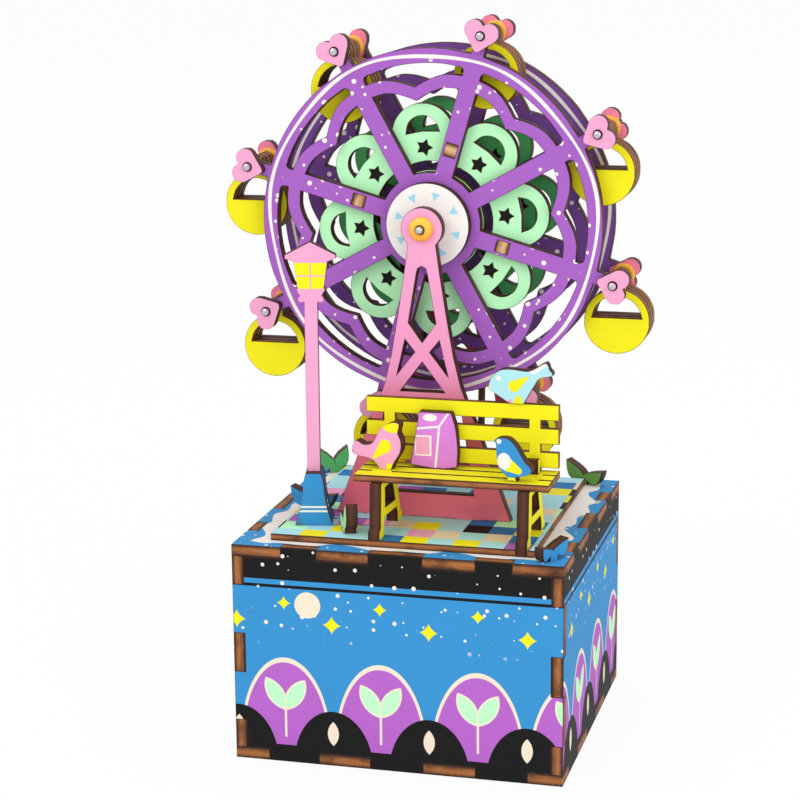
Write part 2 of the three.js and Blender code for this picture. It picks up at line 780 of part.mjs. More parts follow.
// Gondolas: round bodies cut from three glued sheets, with a half-moon opening and an ear
function gondola() {
  const body = at(0, -gondola_drop);
  const start = angleOf(at(gondola_ear_radius, body.y + Math.sqrt(gondola_radius ** 2 - gondola_ear_radius ** 2)), body);
  const outline = [
    ...arc(middle, gondola_ear_radius, 0, 180, 4),
    ...arc(body, gondola_radius, 180 - start, 360 + start, 16),
  ];
  const inner = gondola_radius - gondola_ring;
  const floor = THREE.MathUtils.radToDeg(Math.asin(gondola_floor_rise / inner));
  const opening = arc(body, inner, floor, 180 - floor, 8);
  const pinHole = hole(middle, pin_radius + running_gap, 6);
  return standing(outline, [opening, pinHole], 0, gondola_plies * ply);
}

function buildPinsAndGondolas() {
  for (let k = 0; k < spoke_count; k += 1) {
    const angle = spoke_phase + k * spoke_step;
    const place = polar(pin_circle_radius, angle);
    const pin = add(wheel, `heart_pin_${k + 1}`, heartPin(), paint.pink, 0.6);
    pin.position.set(place.x, 0, place.y);
    pin.rotation.y = radians(90 - angle);
    const car = add(wheel, `gondola_${k + 1}`, gondola(), paint.yellow);
    car.position.set(place.x, front_petals_y + gondola_front_gap, place.y);
  }
}

// Pulleys: a round groove with running clearance round the belt
function pulleyProfile(pitch, bore) {
  const groove = pitch - belt_radius - running_gap;
  const lip = pitch + pulley_lip;
  const half = pulley_width / 2;
  return [
    [bore, belt_y - half],
    [lip, belt_y - half],
    [lip, belt_y - half + pulley_flange],
    [groove, belt_y - half + pulley_flange],
    [groove, belt_y + half - pulley_flange],
    [lip, belt_y + half - pulley_flange],
    [lip, belt_y + half],
    [bore, belt_y + half],
  ];
}

// The round belt, one closed loop about both pulleys
function belt() {
  const rise = axle_height - crank_height;
  const lean = THREE.MathUtils.radToDeg(Math.asin((wheel_pitch_radius - crank_pitch_radius) / rise));
  const top = arc(at(0, axle_height), wheel_pitch_radius, -lean, 180 + lean, 12);
  const low = arc(at(0, crank_height), crank_pitch_radius, 180 + lean, 360 - lean, 10);
  const path = [...top, ...low];
  const sides = 6;
  const positions = [];
  path.forEach((point, i) => {
    const next = path[(i + 1) % path.length];
    const last = path[(i + path.length - 1) % path.length];
    const out = next.clone().sub(last).rotateAround(middle, -Math.PI / 2).normalize();
    for (let j = 0; j < sides; j += 1) {
      const spin = 2 * Math.PI * j / sides;
      const reach = belt_radius * Math.cos(spin);
      positions.push(point.x + out.x * reach, belt_y + belt_radius * Math.sin(spin), point.y + out.y * reach);
    }
  });
  const index = [];
  path.forEach((_, i) => {
    for (let j = 0; j < sides; j += 1) {
      const here = i * sides;
      const there = ((i + 1) % path.length) * sides;
      const up = (j + 1) % sides;
      index.push(here + j, here + up, there + j, here + up, there + up, there + j);
    }
  });
  const geometry = new THREE.BufferGeometry();
  geometry.setAttribute('position', new THREE.Float32BufferAttribute(positions, 3));
  geometry.setIndex(index);
  geometry.computeVertexNormals();
  return geometry;
}

// Involute spur gears with thinned teeth
function gearOutline(teeth, firstTooth) {
  const pitch = gear_module * teeth / 2;
  const base = pitch * Math.cos(radians(pressure_angle));
  const outer = pitch + addendum_share * gear_module;
  const root = pitch - dedendum_share * gear_module;
  const involute = (radius) => Math.sqrt((radius / base) ** 2 - 1) - Math.acos(base / radius);
  const halfTooth = Math.PI / 2 / teeth - gear_backlash / 2 / pitch / 2;
  const start = Math.max(base, root);
  const flank = [start, outer].map((radius) => ({
    radius,
    half: halfTooth + involute(pitch) - involute(radius),
  }));
  const point = (radius, turn) => at(radius, 0).rotateAround(middle, turn);
  return Array.from({ length: teeth }, (_, k) => radians(firstTooth) + 2 * Math.PI * k / teeth).flatMap((turn) => [
    point(root, turn - flank[0].half),
    ...flank.map(({ radius, half }) => point(radius, turn - half)),
    ...[...flank].reverse().map(({ radius, half }) => point(radius, turn + half)),
    point(root, turn + flank[0].half),
  ]);
}

function buildDrive() {
  const wheelPulley = turned([
    ...pulleyProfile(wheel_pitch_radius, axle_radius + glue_gap),
    [axle_radius + glue_gap, belt_y - pulley_width / 2],
  ], 24);
  add(wheel, 'wheel_pulley', wheelPulley, paint.wood);
  add(object, 'drive_belt', belt(), paint.black, 0.85);

  const shaft = [
    [0, wall_y - running_gap],
    [shaft_radius, wall_y - running_gap],
    ...pulleyProfile(crank_pitch_radius, shaft_radius),
    [shaft_radius, crank_arm_y + ply + shaft_end_out],
    [0, crank_arm_y + ply + shaft_end_out],
  ];
  const pinion = standing(gearOutline(pinion_teeth, 180), [], gear_y, gear_width);
  const crankShaft = add(object, 'crank_shaft', join([turned(shaft, 16), pinion]), paint.steel, 0.4, 0.8);
  crankShaft.position.z = crank_height;
  buildCrankArm();
}

// The crank arm hangs down at rest, with its knob at the lower end
function buildCrankArm() {
  const end = at(0, -crank_throw);
  const outline = [
    ...arc(middle, crank_arm_half_width, 0, 180, 7),
    ...arc(end, crank_arm_half_width, 180, 360, 7),
  ];
  const holes = [
    hole(middle, shaft_radius + glue_gap, 12),
    hole(end, knob_pin_radius + running_gap, 10),
  ];
  const arm = add(object, 'crank_arm', standing(outline, holes, crank_arm_y, ply), paint.wood);
  arm.position.z = crank_height;
  const face = crank_arm_y + ply + running_gap;
  const head = crank_arm_y - running_gap;
  const grip = face + knob_length;
  const knob = turned([
    [0, head - knob_head_thickness],
    [knob_head_radius, head - knob_head_thickness],
    [knob_head_radius, head],
    [knob_pin_radius, head],
    [knob_pin_radius, face],
    [knob_neck_radius, face],
    [knob_neck_radius, face + knob_length / 8],
    [knob_radius, face + knob_length / 3],
    [knob_radius, grip - knob_length / 6],
    [knob_radius * knob_end_share, grip],
    [0, grip],
  ], 10);
  const knobMesh = add(object, 'crank_knob', knob, paint.wood, 0.5);
  knobMesh.position.z = crank_height - crank_throw;
}
const knob_end_share = 0.7;

// The music movement: a bracket, a pinned cylinder with its gear, and a steel comb
function buildMovement() {
  const cylinderX = -gear_distance;
  const frontWall = cylinder_rear_y - cylinder_length - running_gap - movement_wall;
  const seat = ply + glue_gap;
  const left = cylinderX - cylinder_radius - running_gap - comb_bed - movement_ledge_width;
  const ledgeTop = crank_height - comb_thickness / 2 - glue_gap;
  const right = shaft_radius + running_gap + movement_wall;
  const bore = shaft_radius + running_gap;
  const holder = (x) => arc(at(x, crank_height), movement_wall_radius, 0, 180, 6);
  const holeAt = (x) => hole(at(x, crank_height), bore, 12);
  const frontSheet = [at(left, seat), at(cylinderX + movement_wall_radius, seat), ...holder(cylinderX), at(left, ledgeTop)];
  const rearSheet = [
    at(left, seat), at(movement_wall_radius, seat), ...holder(0), ...holder(cylinderX), at(left, ledgeTop),
  ];
  const depth = wall_y + movement_wall - frontWall;
  const floor = [at(left, seat), at(right, seat), at(right, seat + movement_floor), at(left, seat + movement_floor)];
  const ledge = [
    at(left, seat), at(left + movement_ledge_width, seat), at(left + movement_ledge_width, ledgeTop), at(left, ledgeTop),
  ];
  const bracket = join([
    standing(floor, [], frontWall, depth),
    standing(ledge, [], frontWall, depth),
    standing(frontSheet, [holeAt(cylinderX)], frontWall, movement_wall),
    standing(rearSheet, [holeAt(cylinderX), holeAt(0)], wall_y, movement_wall),
  ]);
  add(object, 'movement_bracket', bracket, paint.steel, 0.45, 0.9);
  buildCylinder(cylinderX, frontWall);
  buildComb(left, frontWall);
}

function buildCylinder(x, frontWall) {
  const front = cylinder_rear_y - cylinder_length;
  const shell = turned([
    [0, frontWall - running_gap],
    [shaft_radius, frontWall - running_gap],
    [shaft_radius, front],
    [cylinder_radius, front],
    [cylinder_radius, cylinder_rear_y],
    [shaft_radius, cylinder_rear_y],
    [shaft_radius, gear_y + gear_width + running_gap],
    [0, gear_y + gear_width + running_gap],
  ], 16);
  const toothSpace = 180 / gear_teeth;
  const gear = standing(gearOutline(gear_teeth, toothSpace), [], gear_y, gear_width);
  const mesh = add(object, 'music_cylinder', join([shell, gear]), paint.brass, 0.35, 0.9);
  mesh.position.set(x, 0, crank_height);
}

function buildComb(left, frontWall) {
  const tips = left + movement_ledge_width + comb_bed;
  const from = frontWall + movement_wall + running_gap;
  const pitch = (cylinder_length - running_gap) / comb_teeth;
  const outline = [at(left, from)];
  for (let k = 0; k < comb_teeth; k += 1) {
    const side = from + k * pitch;
    outline.push(at(tips, side), at(tips, side + pitch - comb_slit));
    if (k < comb_teeth - 1) {
      const root = left + movement_ledge_width;
      outline.push(at(root, side + pitch - comb_slit), at(root, side + pitch));
    }
  }
  outline.push(at(left, from + comb_teeth * pitch - comb_slit));
  const comb = lying(outline, [], crank_height - comb_thickness / 2, comb_thickness);
  add(object, 'music_comb', comb, paint.steel, 0.3, 1);
}

// Street lamp: a cut-out post between two foot sheets
// Half widths and heights, in shares of the roof's half width and of the lamp's height
const lamp_shares = [
  [0.256, 0.0], [0.256, 0.79], [0.47, 0.79], [0.51, 0.8], [0.47, 0.809], [0.42, 0.812],
  [0.57, 0.836], [0.51, 0.838], [0.66, 0.932], [1.0, 0.943], [0.98, 0.955], [0, 1.0],
];
const lamp_foot_shares = [[1.0, 0.0], [1.0, 0.02], [0.745, 0.3], [0.6, 0.59], [0.55, 0.76], [0.52, 0.87], [0.4, 1.0]];
const lampTenonWidth = () => 2 * lamp_shares[0][0] * lamp_roof_half_width;

function buildLamp() {
  const half = scaled(lamp_shares, lamp_roof_half_width, lamp_height);
  const tenon = at(half[0].x, -thin_ply);
  const post = mirrored([tenon, ...half.slice(1)]);
  const foot = mirrored(scaled(lamp_foot_shares, lamp_foot_half_width, lamp_foot_height));
  const lamp = new THREE.Group();
  lamp.position.set(lamp_x, lamp_y, paving_top + glue_gap);
  lamp.rotation.z = radians(lamp_turn);
  object.add(lamp);
  add(lamp, 'lamp_post', standing(post, [], -ply / 2, ply), paint.pink);
  add(lamp, 'lamp_foot_front', standing(foot, [], -ply * 1.5 - glue_gap, ply), paint.blue);
  add(lamp, 'lamp_foot_rear', standing(foot, [], ply / 2 + glue_gap, ply), paint.blue);
}

// Bench
// Slats with two bridges across them: comb ends outside the bridges, windows between them
function slatted({ length, slats, slat, gap, overhang, bridge, feet }) {
  const step = slat + gap;
  const right = [];
  const windows = [];
  for (let k = 0; k < slats; k += 1) {
    right.push(at(length / 2, k * step), at(length / 2, k * step + slat));
    if (k < slats - 1) {
      const inside = length / 2 - overhang;
      right.push(at(inside, k * step + slat), at(inside, (k + 1) * step));
      const window = at(0, k * step + slat + gap / 2);
      windows.push(rectangle(window, length - 2 * (overhang + bridge), gap));
    }
  }
  const outer = length / 2 - overhang;
  const footing = feet > 0 ? [at(outer - bridge, 0), at(outer - bridge, -feet), at(outer, -feet), at(outer, 0)] : [];
  return { outline: mirrored([...footing, ...right]), windows };
}

// Leg outline and its opening, in shares of the leg's depth and of the seat's height
const leg_foot_share = 0.2;
const leg_front_shares = [[0, 0], [leg_foot_share, 0]];
const leg_shares = [
  [0.2, 0.1], [0.19, 0.16], [0.235, 0.35], [0.75, 0.31], [0.8, 0.16], [0.8, 0.0],
  [1.0, 0.0], [1.0, 0.12], [0.93, 0.18], [0.74, 1.0],
];
const leg_back_shares = [[0.1, 1.0], [0.065, 0.2], [0.0, 0.13]];
const leg_opening_shares = [[0.25, 0.5], [0.7, 0.46], [0.585, 0.88], [0.25, 0.88]];
const leg_tenon_share = 0.6;

function benchLeg(x, drop) {
  const height = seat_height - glue_gap;
  const front = scaled(leg_front_shares, leg_depth, height).map((point) => at(point.x, -drop));
  const tenonFront = leg_depth * leg_tenon_share;
  const tenonTop = height + 2 * glue_gap + thin_ply + leg_tenon_height;
  const tenon = [
    at(tenonFront + leg_tenon_depth, height),
    at(tenonFront + leg_tenon_depth, tenonTop),
    at(tenonFront, tenonTop),
    at(tenonFront, height),
  ];
  const outline = [
    ...front,
    ...scaled(leg_shares, leg_depth, height),
    ...tenon,
    ...scaled(leg_back_shares, leg_depth, height),
  ];
  const opening = scaled(leg_opening_shares, leg_depth, height);
  return sideways(outline, [opening], x, ply).translate(0, leg_front_y, paving_top);
}

function buildBench() {
  const middleX = bench_left + bench_length / 2;
  const seatSlat = (seat_depth - (seat_slats - 1) * seat_slat_gap) / seat_slats;
  const overhang = bench_leg_inset + ply / 2 - seat_bridge / 2;
  const seat = slatted({
    length: bench_length, slats: seat_slats, slat: seatSlat, gap: seat_slat_gap,
    overhang, bridge: seat_bridge, feet: 0,
  });
  const tenonY = leg_front_out * -1 + leg_depth * leg_tenon_share + leg_tenon_depth / 2;
  const slots = [left_leg_x, right_leg_x].map((x) => (
    rectangle(at(x + ply / 2 - middleX, tenonY), ply + 2 * glue_gap, leg_tenon_depth + 2 * glue_gap)
  ));
  const seatSheet = lying(seat.outline, [...seat.windows, ...slots], seat_z, thin_ply);
  add(object, 'bench_seat', seatSheet.translate(middleX, bench_front_y, 0), paint.yellow);
  const back = slatted({
    length: bench_length, slats: back_slats, slat: back_slat, gap: back_slat_gap,
    overhang: bench_leg_inset, bridge: ply, feet: back_lift - glue_gap,
  });
  const backSheet = standing(back.outline, back.windows, back_y, thin_ply);
  add(object, 'bench_back', backSheet.translate(middleX, 0, seat_top + back_lift), paint.yellow);
  add(object, 'bench_leg_left', benchLeg(left_leg_x, 0), paint.yellow);
  add(object, 'bench_leg_right', benchLeg(right_leg_x, thin_ply - glue_gap), paint.yellow);
}

// A bird's outline: a smooth line from the right of its foot round to the left, in shares of its size
const pink_bird_shares = [
  [0.3, 0], [0.36, 0.16], [0.49, 0.4], [0.5, 0.64], [0.44, 0.8], [0.475, 0.99], [0.32, 1.0], [0.16, 0.92],
  [0.06, 0.8], [-0.01, 0.64], [-0.11, 0.51], [-0.28, 0.49], [-0.42, 0.56], [-0.5, 0.38], [-0.45, 0.26],
  [-0.2, 0.22], [-0.04, 0.16], [0.08, 0],
];
const blue_bird_shares = [
  [0.115, 0], [0.09, 0.11], [0.25, 0.14], [0.488, 0.21], [0.5, 0.35], [0.38, 0.445], [0.26, 0.59], [0.155, 0.75],
  [0.01, 0.91], [-0.15, 1.0], [-0.35, 1.0], [-0.5, 0.95], [-0.45, 0.86], [-0.44, 0.7], [-0.42, 0.5], [-0.38, 0.33],
  [-0.26, 0.2], [-0.125, 0.1], [-0.15, 0],
];
const sky_bird_shares = [
  [0.03, 0], [0.12, 0.27], [0.19, 0.46], [0.27, 0.63], [0.46, 0.7], [0.41, 0.84], [0.36, 1.0], [0.22, 0.87],
  [0.08, 0.78], [-0.11, 0.81], [-0.31, 0.79], [-0.43, 0.63], [-0.5, 0.37], [-0.42, 0.25], [-0.28, 0.11], [-0.17, 0],
];

function birdSheet(shares, width, height) {
  const points = scaled(shares, width, height);
  const outline = new THREE.SplineCurve(points).getPoints(2 * (points.length - 1));
  return standing(outline, [], -ply / 2, ply);
}

const bag_shares = [
  [-0.05, 0], [0.24, 0], [0.48, 0.04], [0.5, 0.26], [0.48, 0.56], [0.44, 0.8], [0.36, 1.0], [-0.31, 1.0], [-0.5, 0.05],
];

function buildBenchThings() {
  const seatFace = seat_top + glue_gap;
  const along = (share) => bench_left + share * bench_length;
  const bag = standing(scaled(bag_shares, bag_width, bag_height), [], back_y - glue_gap - ply, ply);
  add(object, 'paper_bag', bag.translate(along(bag_place_share), 0, seatFace), paint.purple);
  const perch = (name, shares, width, height, color, place, fromBack, turn) => {
    const bird = add(object, name, birdSheet(shares, width, height), color);
    bird.position.set(along(place), back_y - fromBack, seatFace);
    bird.rotation.z = radians(turn);
    return bird;
  };
  perch('pink_bird', pink_bird_shares, pink_bird_width, pink_bird_height, paint.pink,
    pink_bird_place_share, pink_bird_from_back, pink_bird_turn);
  perch('blue_bird', blue_bird_shares, blue_bird_width, blue_bird_height, paint.blue,
    blue_bird_place_share, blue_bird_from_back, blue_bird_turn);
  const backTop = seat_top + back_lift + back_slats * back_slat + (back_slats - 1) * back_slat_gap;
  const skyBird = perch('sky_bird', sky_bird_shares, sky_bird_width, sky_bird_height, paint.sky,
    sky_bird_place_share, -thin_ply / 2, 0);
  skyBird.position.z = backTop + glue_gap;
}

// A sprout: two leaves on a stem, with a tenon below; the crotch lies towards the shorter leaf
function leafEdges([length, lean], side, crotch) {
  const root = at(side * sprout_stem / 2, sprout_stem_rise);
  const tip = polar(length, 90 - side * lean);
  const half = tip.clone().divideScalar(2);
  const across = tip.clone().rotateAround(middle, -side * Math.PI / 2).setLength(leaf_width / 2);
  const outer = bend(root, half.clone().add(across), tip, 4);
  const inner = bend(tip, half.clone().addScaledVector(across, -leaf_inner_share), crotch, 3);
  return [...outer, ...inner.slice(1)];
}
const leaf_inner_share = 0.8;

function sprout({ right, left }, depth) {
  const crotch = at(Math.sign(left[0] - right[0]) * sprout_crotch_shift, sprout_crotch_height);
  const half = sprout_stem / 2;
  const tenon = [at(-half, -depth), at(half, -depth)];
  const leaves = [...leafEdges(right, 1, crotch), ...leafEdges(left, -1, crotch).reverse().slice(1)];
  return standing([...tenon, ...leaves], [], -ply / 2, ply);
}

function buildSprouts() {
  sproutPlaces().forEach((place) => {
    const { name, x, y, turn } = place;
    const onPaving = place.base === 'paving';
    const depth = (onPaving ? thin_ply : ply) - glue_gap;
    const mesh = add(object, name, sprout(place, depth), onPaving ? paint.paleLeaf : paint.leaf);
    mesh.position.set(x, y, (onPaving ? paving_top : box_height) + glue_gap);
    mesh.rotation.z = radians(turn);
  });
}

buildBox();
buildPaving();
buildFrames();
buildWheel();
buildAxle();
buildPinsAndGondolas();
buildDrive();
buildMovement();
buildLamp();
buildBench();
buildBenchThings();
buildSprouts();

export default object;
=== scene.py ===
"""A hand-cranked ferris wheel music box, cut from printed plywood sheets.

Metres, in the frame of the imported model: X to the right, Y away from the front, Z up.
Each sheet is cut again from its solid's outline, with smooth curves, eased edges, printed
faces and burnt walls. Turned pieces, the heart pins and the belt are made anew in the places
of their solids. The crank shaft and the movement inside the box keep their solids.
"""

from __future__ import annotations

import json
import logging
import math
from dataclasses import dataclass
from enum import Enum, IntEnum
from typing import Callable, Optional, Sequence, Union

import bmesh
import bpy
from mathutils import Matrix, Vector

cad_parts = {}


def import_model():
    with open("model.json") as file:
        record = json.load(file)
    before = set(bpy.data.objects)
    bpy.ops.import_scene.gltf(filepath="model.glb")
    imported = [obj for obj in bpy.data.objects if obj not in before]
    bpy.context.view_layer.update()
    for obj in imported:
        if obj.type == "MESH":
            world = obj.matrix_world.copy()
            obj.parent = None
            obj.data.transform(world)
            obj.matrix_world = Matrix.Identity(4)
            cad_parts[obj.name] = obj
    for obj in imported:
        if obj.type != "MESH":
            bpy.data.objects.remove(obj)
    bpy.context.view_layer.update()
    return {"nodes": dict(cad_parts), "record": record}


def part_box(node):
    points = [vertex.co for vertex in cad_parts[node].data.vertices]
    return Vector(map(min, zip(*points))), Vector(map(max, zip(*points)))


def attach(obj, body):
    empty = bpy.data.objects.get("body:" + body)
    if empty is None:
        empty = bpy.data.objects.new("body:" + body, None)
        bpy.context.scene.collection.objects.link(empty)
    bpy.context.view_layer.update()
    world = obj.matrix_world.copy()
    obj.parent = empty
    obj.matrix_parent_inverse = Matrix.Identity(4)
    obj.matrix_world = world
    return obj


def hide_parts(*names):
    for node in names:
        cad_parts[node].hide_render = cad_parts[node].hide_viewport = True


LOG = logging.getLogger("ferris_wheel")
MM = 0.001
FULL_TURN = 2 * math.pi
TO_FRONT = Vector((0, -1, 0))
FIRST_SPOKE = 73.85  # degrees, anticlockwise from X as seen from the front
WELD = 2e-6  # metres within which two points of a solid are one
SEAM_WELD = 1e-6  # the same where a turned piece closes
SAME_PLANE = 1e-5  # metres within which a face lies on the front plane
PARALLEL = 0.999  # cosine from which two directions are the same
FACES_OUT = 0.99  # cosine from which a face belongs to a sheet's front or back
NEARLY_OUT = 0.9  # the same before the edges are eased
SIDEWAYS = 0.3  # cosine below which a face doesn't count as a front
SIDE_WEIGHT = 0.01  # how much such a face still counts
MOST_PIECES = 8  # pieces that one cut of a curve is divided into
UNEVEN = 1.75  # ratio of two cuts from which the longer one is straight
HARD_EDGE = 0.6  # radians from which a turned edge is eased


class Ink(str, Enum):
    """Print, paint, wood and metal colours as they look in even light, except the darker inks of
    the rear disc, the rear petals, the rear frame and the shaded walls, which hold painted shade.
    """

    PURPLE = "#A361BD"
    # Painted shade: the rear disc's purple, darker for the shade the front disc casts on it
    SHADED_PURPLE = "#7B4D9C"
    LILAC = "#B364C3"
    ORCHID = "#D581DA"
    CREAM = "#F0E9E3"
    IVORY = "#EEDFC8"
    MINT = "#BCFAC3"
    # Fern green of a sprout, and also the rear petals' mint with painted shade in it
    FERN_AND_SHADED_MINT = "#62C878"
    YELLOW = "#F2E71D"
    PINK = "#ECA3C8"
    FRAME_PINK = "#E993BE"
    ROSE = "#EC86A6"
    DEEP_ROSE = "#FF7C98"
    # Painted shade: the rear frame's pink, darker as it stands in shade behind the wheel
    SHADED_ROSE = "#CB4B6A"
    ORANGE = "#FDA42A"
    AMBER = "#F6C139"
    WHITE = "#F1EDE8"
    PALE_BLUE = "#9FD9EA"
    BLUE = "#388FCA"
    DEEP_BLUE = "#2F74B2"
    BLACK = "#171717"
    TILE = "#ACE0E8"
    SAND = "#EBD6B6"
    LEAF = "#74AE5A"
    PALE_LEAF = "#B4E2AC"
    BIRCH = "#D9B585"
    COPPER = "#A8693B"
    BURNT = "#5C2E15"
    # Burnt wood darkened further by painted shade
    SHADED_BURNT = "#381D10"
    CHAR = "#22110A"
    TOAST = "#AB6B36"
    STEEL = "#C9CBD0"
    BRASS = "#C9A24A"
    RUBBER = "#35302B"
    PAPER = "#FFFFFF"


def linear(ink: Ink) -> tuple[float, float, float, float]:
    """Gives an ink's linear channels, by the standard screen curve.

    Args:
        ink: The ink.

    Returns:
        Red, green, blue and alpha.
    """
    channels = [int(ink.value[i:i + 2], 16) / 255 for i in (1, 3, 5)]
    red, green, blue = (c / 12.92 if c <= 0.04045 else ((c + 0.055) / 1.055) ** 2.4
                        for c in channels)
    return red, green, blue, 1.0


# Shader maths


class Term:
    """A number that varies over a surface, which Python's operators turn into Math nodes."""

    def __init__(self, graph: Graph, socket: bpy.types.NodeSocket) -> None:
        """Wraps an output socket of a graph."""
        self.graph = graph
        self.socket = socket

    def __add__(self, other: Number) -> Term:
        """Adds."""
        return self.graph.math("ADD", self, other)

    __radd__ = __add__

    def __sub__(self, other: Number) -> Term:
        """Subtracts."""
        return self.graph.math("SUBTRACT", self, other)

    def __rsub__(self, other: Number) -> Term:
        """Subtracts from a number."""
        return self.graph.math("SUBTRACT", other, self)

    def __mul__(self, other: Number) -> Term:
        """Multiplies."""
        return self.graph.math("MULTIPLY", self, other)

    __rmul__ = __mul__

    def __truediv__(self, other: Number) -> Term:
        """Divides."""
        return self.graph.math("DIVIDE", self, other)

    def __rtruediv__(self, other: Number) -> Term:
        """Divides a number."""
        return self.graph.math("DIVIDE", other, self)

    def __pow__(self, other: Number) -> Term:
        """Raises to a power."""
        return self.graph.math("POWER", self, other)

    def __abs__(self) -> Term:
        """Drops the sign."""
        return self.graph.math("ABSOLUTE", self)

    def __and__(self, other: Number) -> Term:
        """Keeps what lies in both masks."""
        return self.graph.math("MINIMUM", self, other)

    def __or__(self, other: Number) -> Term:
        """Keeps what lies in either mask."""
        return self.graph.math("MAXIMUM", self, other)

    def sine(self) -> Term:
        """Takes the sine of radians."""
        return self.graph.math("SINE", self)

    def floor(self) -> Term:
        """Rounds down."""
        return self.graph.math("FLOOR", self)

    def wrap(self, low: float, high: float) -> Term:
        """Repeats the number between two ends."""
        return self.graph.math("WRAP", self, high, low)

    def ramp(self, low: float, high: float) -> Term:
        """Runs from 0 at low to 1 at high, and is held there.

        Args:
            low: Where it is 0.
            high: Where it is 1.

        Returns:
            The share, from 0 to 1.
        """
        inputs = {0: self, 1: low, 2: high, 3: 0.0, 4: 1.0}
        node = self.graph.node("ShaderNodeMapRange", {"clamp": True}, inputs)
        return Term(self.graph, node.outputs[0])

    def inside(self, softness: float = 0.06) -> Term:
        """Makes a mask of where the number is above zero, with a soft edge in millimetres."""
        return self.ramp(-softness / 2, softness / 2)


Number = Union[float, Term]
Paint = Union[Ink, bpy.types.NodeSocket]
Spot = tuple[float, float]


class Graph:
    """The nodes of a material or the world, built from expressions in millimetres."""

    # The Mix node's inputs and output for colours
    MIX_SHARE, MIX_UNDER, MIX_OVER = 0, 6, 7
    MIXED = 2

    def __init__(self, owner: Union[bpy.types.Material, bpy.types.World]) -> None:
        """Empties the node tree of a material or the world.

        Args:
            owner: The material or the world.
        """
        owner.use_nodes = True
        self.owner = owner
        self.tree = owner.node_tree
        self.tree.nodes.clear()
        self._place: Optional[bpy.types.NodeSocket] = None

    @classmethod
    def of_material(cls, name: str) -> Graph:
        """Starts a material."""
        return cls(bpy.data.materials.new(name))

    def node(self, kind: str, settings: Optional[dict] = None,
             inputs: Optional[dict] = None) -> bpy.types.Node:
        """Adds a node.

        Args:
            kind: The node's type.
            settings: Its properties, set first. "stops" fills a colour ramp, and "steps"
                makes the ramp jump from stop to stop.
            inputs: Values or links for its sockets, by name or number.

        Returns:
            The node.
        """
        node = self.tree.nodes.new(kind)
        for key, value in (settings or {}).items():
            if key == "stops":
                self._fill_ramp(node.color_ramp, value)
            elif key == "steps":
                node.color_ramp.interpolation = "CONSTANT" if value else "LINEAR"
            else:
                setattr(node, key, value)
        for key, value in (inputs or {}).items():
            self._plug(node.inputs[key], value)
        return node

    def _plug(self, socket: bpy.types.NodeSocket, value: object) -> None:
        """Sets a socket's value, or links what varies.

        Args:
            socket: The input.
            value: A number, vector, ink, term or output.
        """
        if isinstance(value, Term):
            self.tree.links.new(value.socket, socket)
        elif isinstance(value, bpy.types.NodeSocket):
            self.tree.links.new(value, socket)
        elif isinstance(value, Ink):
            socket.default_value = linear(value)
        else:
            socket.default_value = value

    @staticmethod
    def _fill_ramp(ramp: bpy.types.ColorRamp, stops: Sequence[tuple[float, Ink]]) -> None:
        """Gives a colour ramp its stops.

        Args:
            ramp: The ramp.
            stops: Places from 0 to 1, each with its ink.
        """
        while len(ramp.elements) < len(stops):
            ramp.elements.new(1.0)
        for element, (place, ink) in zip(ramp.elements, stops):
            element.position = place
            element.color = linear(ink)

    def math(self, operation: str, *values: Number) -> Term:
        """Adds a Math node."""
        node = self.node("ShaderNodeMath", {"operation": operation}, dict(enumerate(values)))
        return Term(self, node.outputs[0])

    def mix(self, share: Number, under: Paint, over: Paint,
            blend: str = "MIX") -> bpy.types.NodeSocket:
        """Lays one colour over another by a share from 0 to 1.

        Args:
            share: How much the upper colour covers, from 0 to 1.
            under: The lower colour.
            over: The upper colour.
            blend: How they join.

        Returns:
            The mixed colour.
        """
        settings = {"data_type": "RGBA", "blend_type": blend}
        inputs = {self.MIX_SHARE: share, self.MIX_UNDER: under, self.MIX_OVER: over}
        return self.node("ShaderNodeMix", settings, inputs).outputs[self.MIXED]

    def place(self) -> bpy.types.NodeSocket:
        """Gives the point on the object, in millimetres.

        Returns:
            The point.
        """
        if self._place is None:
            metres = self.node("ShaderNodeTexCoord").outputs["Object"]
            scaled = self.vector_math("SCALE", {0: metres, "Scale": 1 / MM})
            self._place = scaled.outputs[0]
        return self._place

    def axes(self) -> tuple[Term, Term, Term]:
        """Gives X, Y and Z of the point, in millimetres."""
        split = self.node("ShaderNodeSeparateXYZ", {}, {0: self.place()}).outputs
        return Term(self, split[0]), Term(self, split[1]), Term(self, split[2])

    def along(self, centre: Spot, turn: float) -> Term:
        """Measures from a centre along a level line that is turned from X, in radians."""
        x, y, _ = self.axes()
        return (x - centre[0]) * math.cos(turn) + (y - centre[1]) * math.sin(turn)

    def vector(self, x: Number, y: Number, z: Number = 0.0) -> bpy.types.NodeSocket:
        """Joins three numbers to a vector."""
        return self.node("ShaderNodeCombineXYZ", {}, {0: x, 1: y, 2: z}).outputs[0]

    def attribute(self, name: str) -> Term:
        """Reads a number that the mesh carries."""
        node = self.node("ShaderNodeAttribute", {"attribute_name": name})
        return Term(self, node.outputs["Fac"])

    def direction(self, name: str) -> bpy.types.NodeSocket:
        """Reads a vector that the mesh carries."""
        return self.node("ShaderNodeAttribute", {"attribute_name": name}).outputs["Vector"]

    def vector_math(self, operation: str, inputs: dict) -> bpy.types.Node:
        """Adds a Vector Math node."""
        return self.node("ShaderNodeVectorMath", {"operation": operation}, inputs)

    def seen(self) -> Term:
        """Gives 1 to the camera and to reflections, and 0 to the light on the object."""
        rays = self.node("ShaderNodeLightPath").outputs
        return Term(self, rays["Is Camera Ray"]) | Term(self, rays["Is Glossy Ray"])

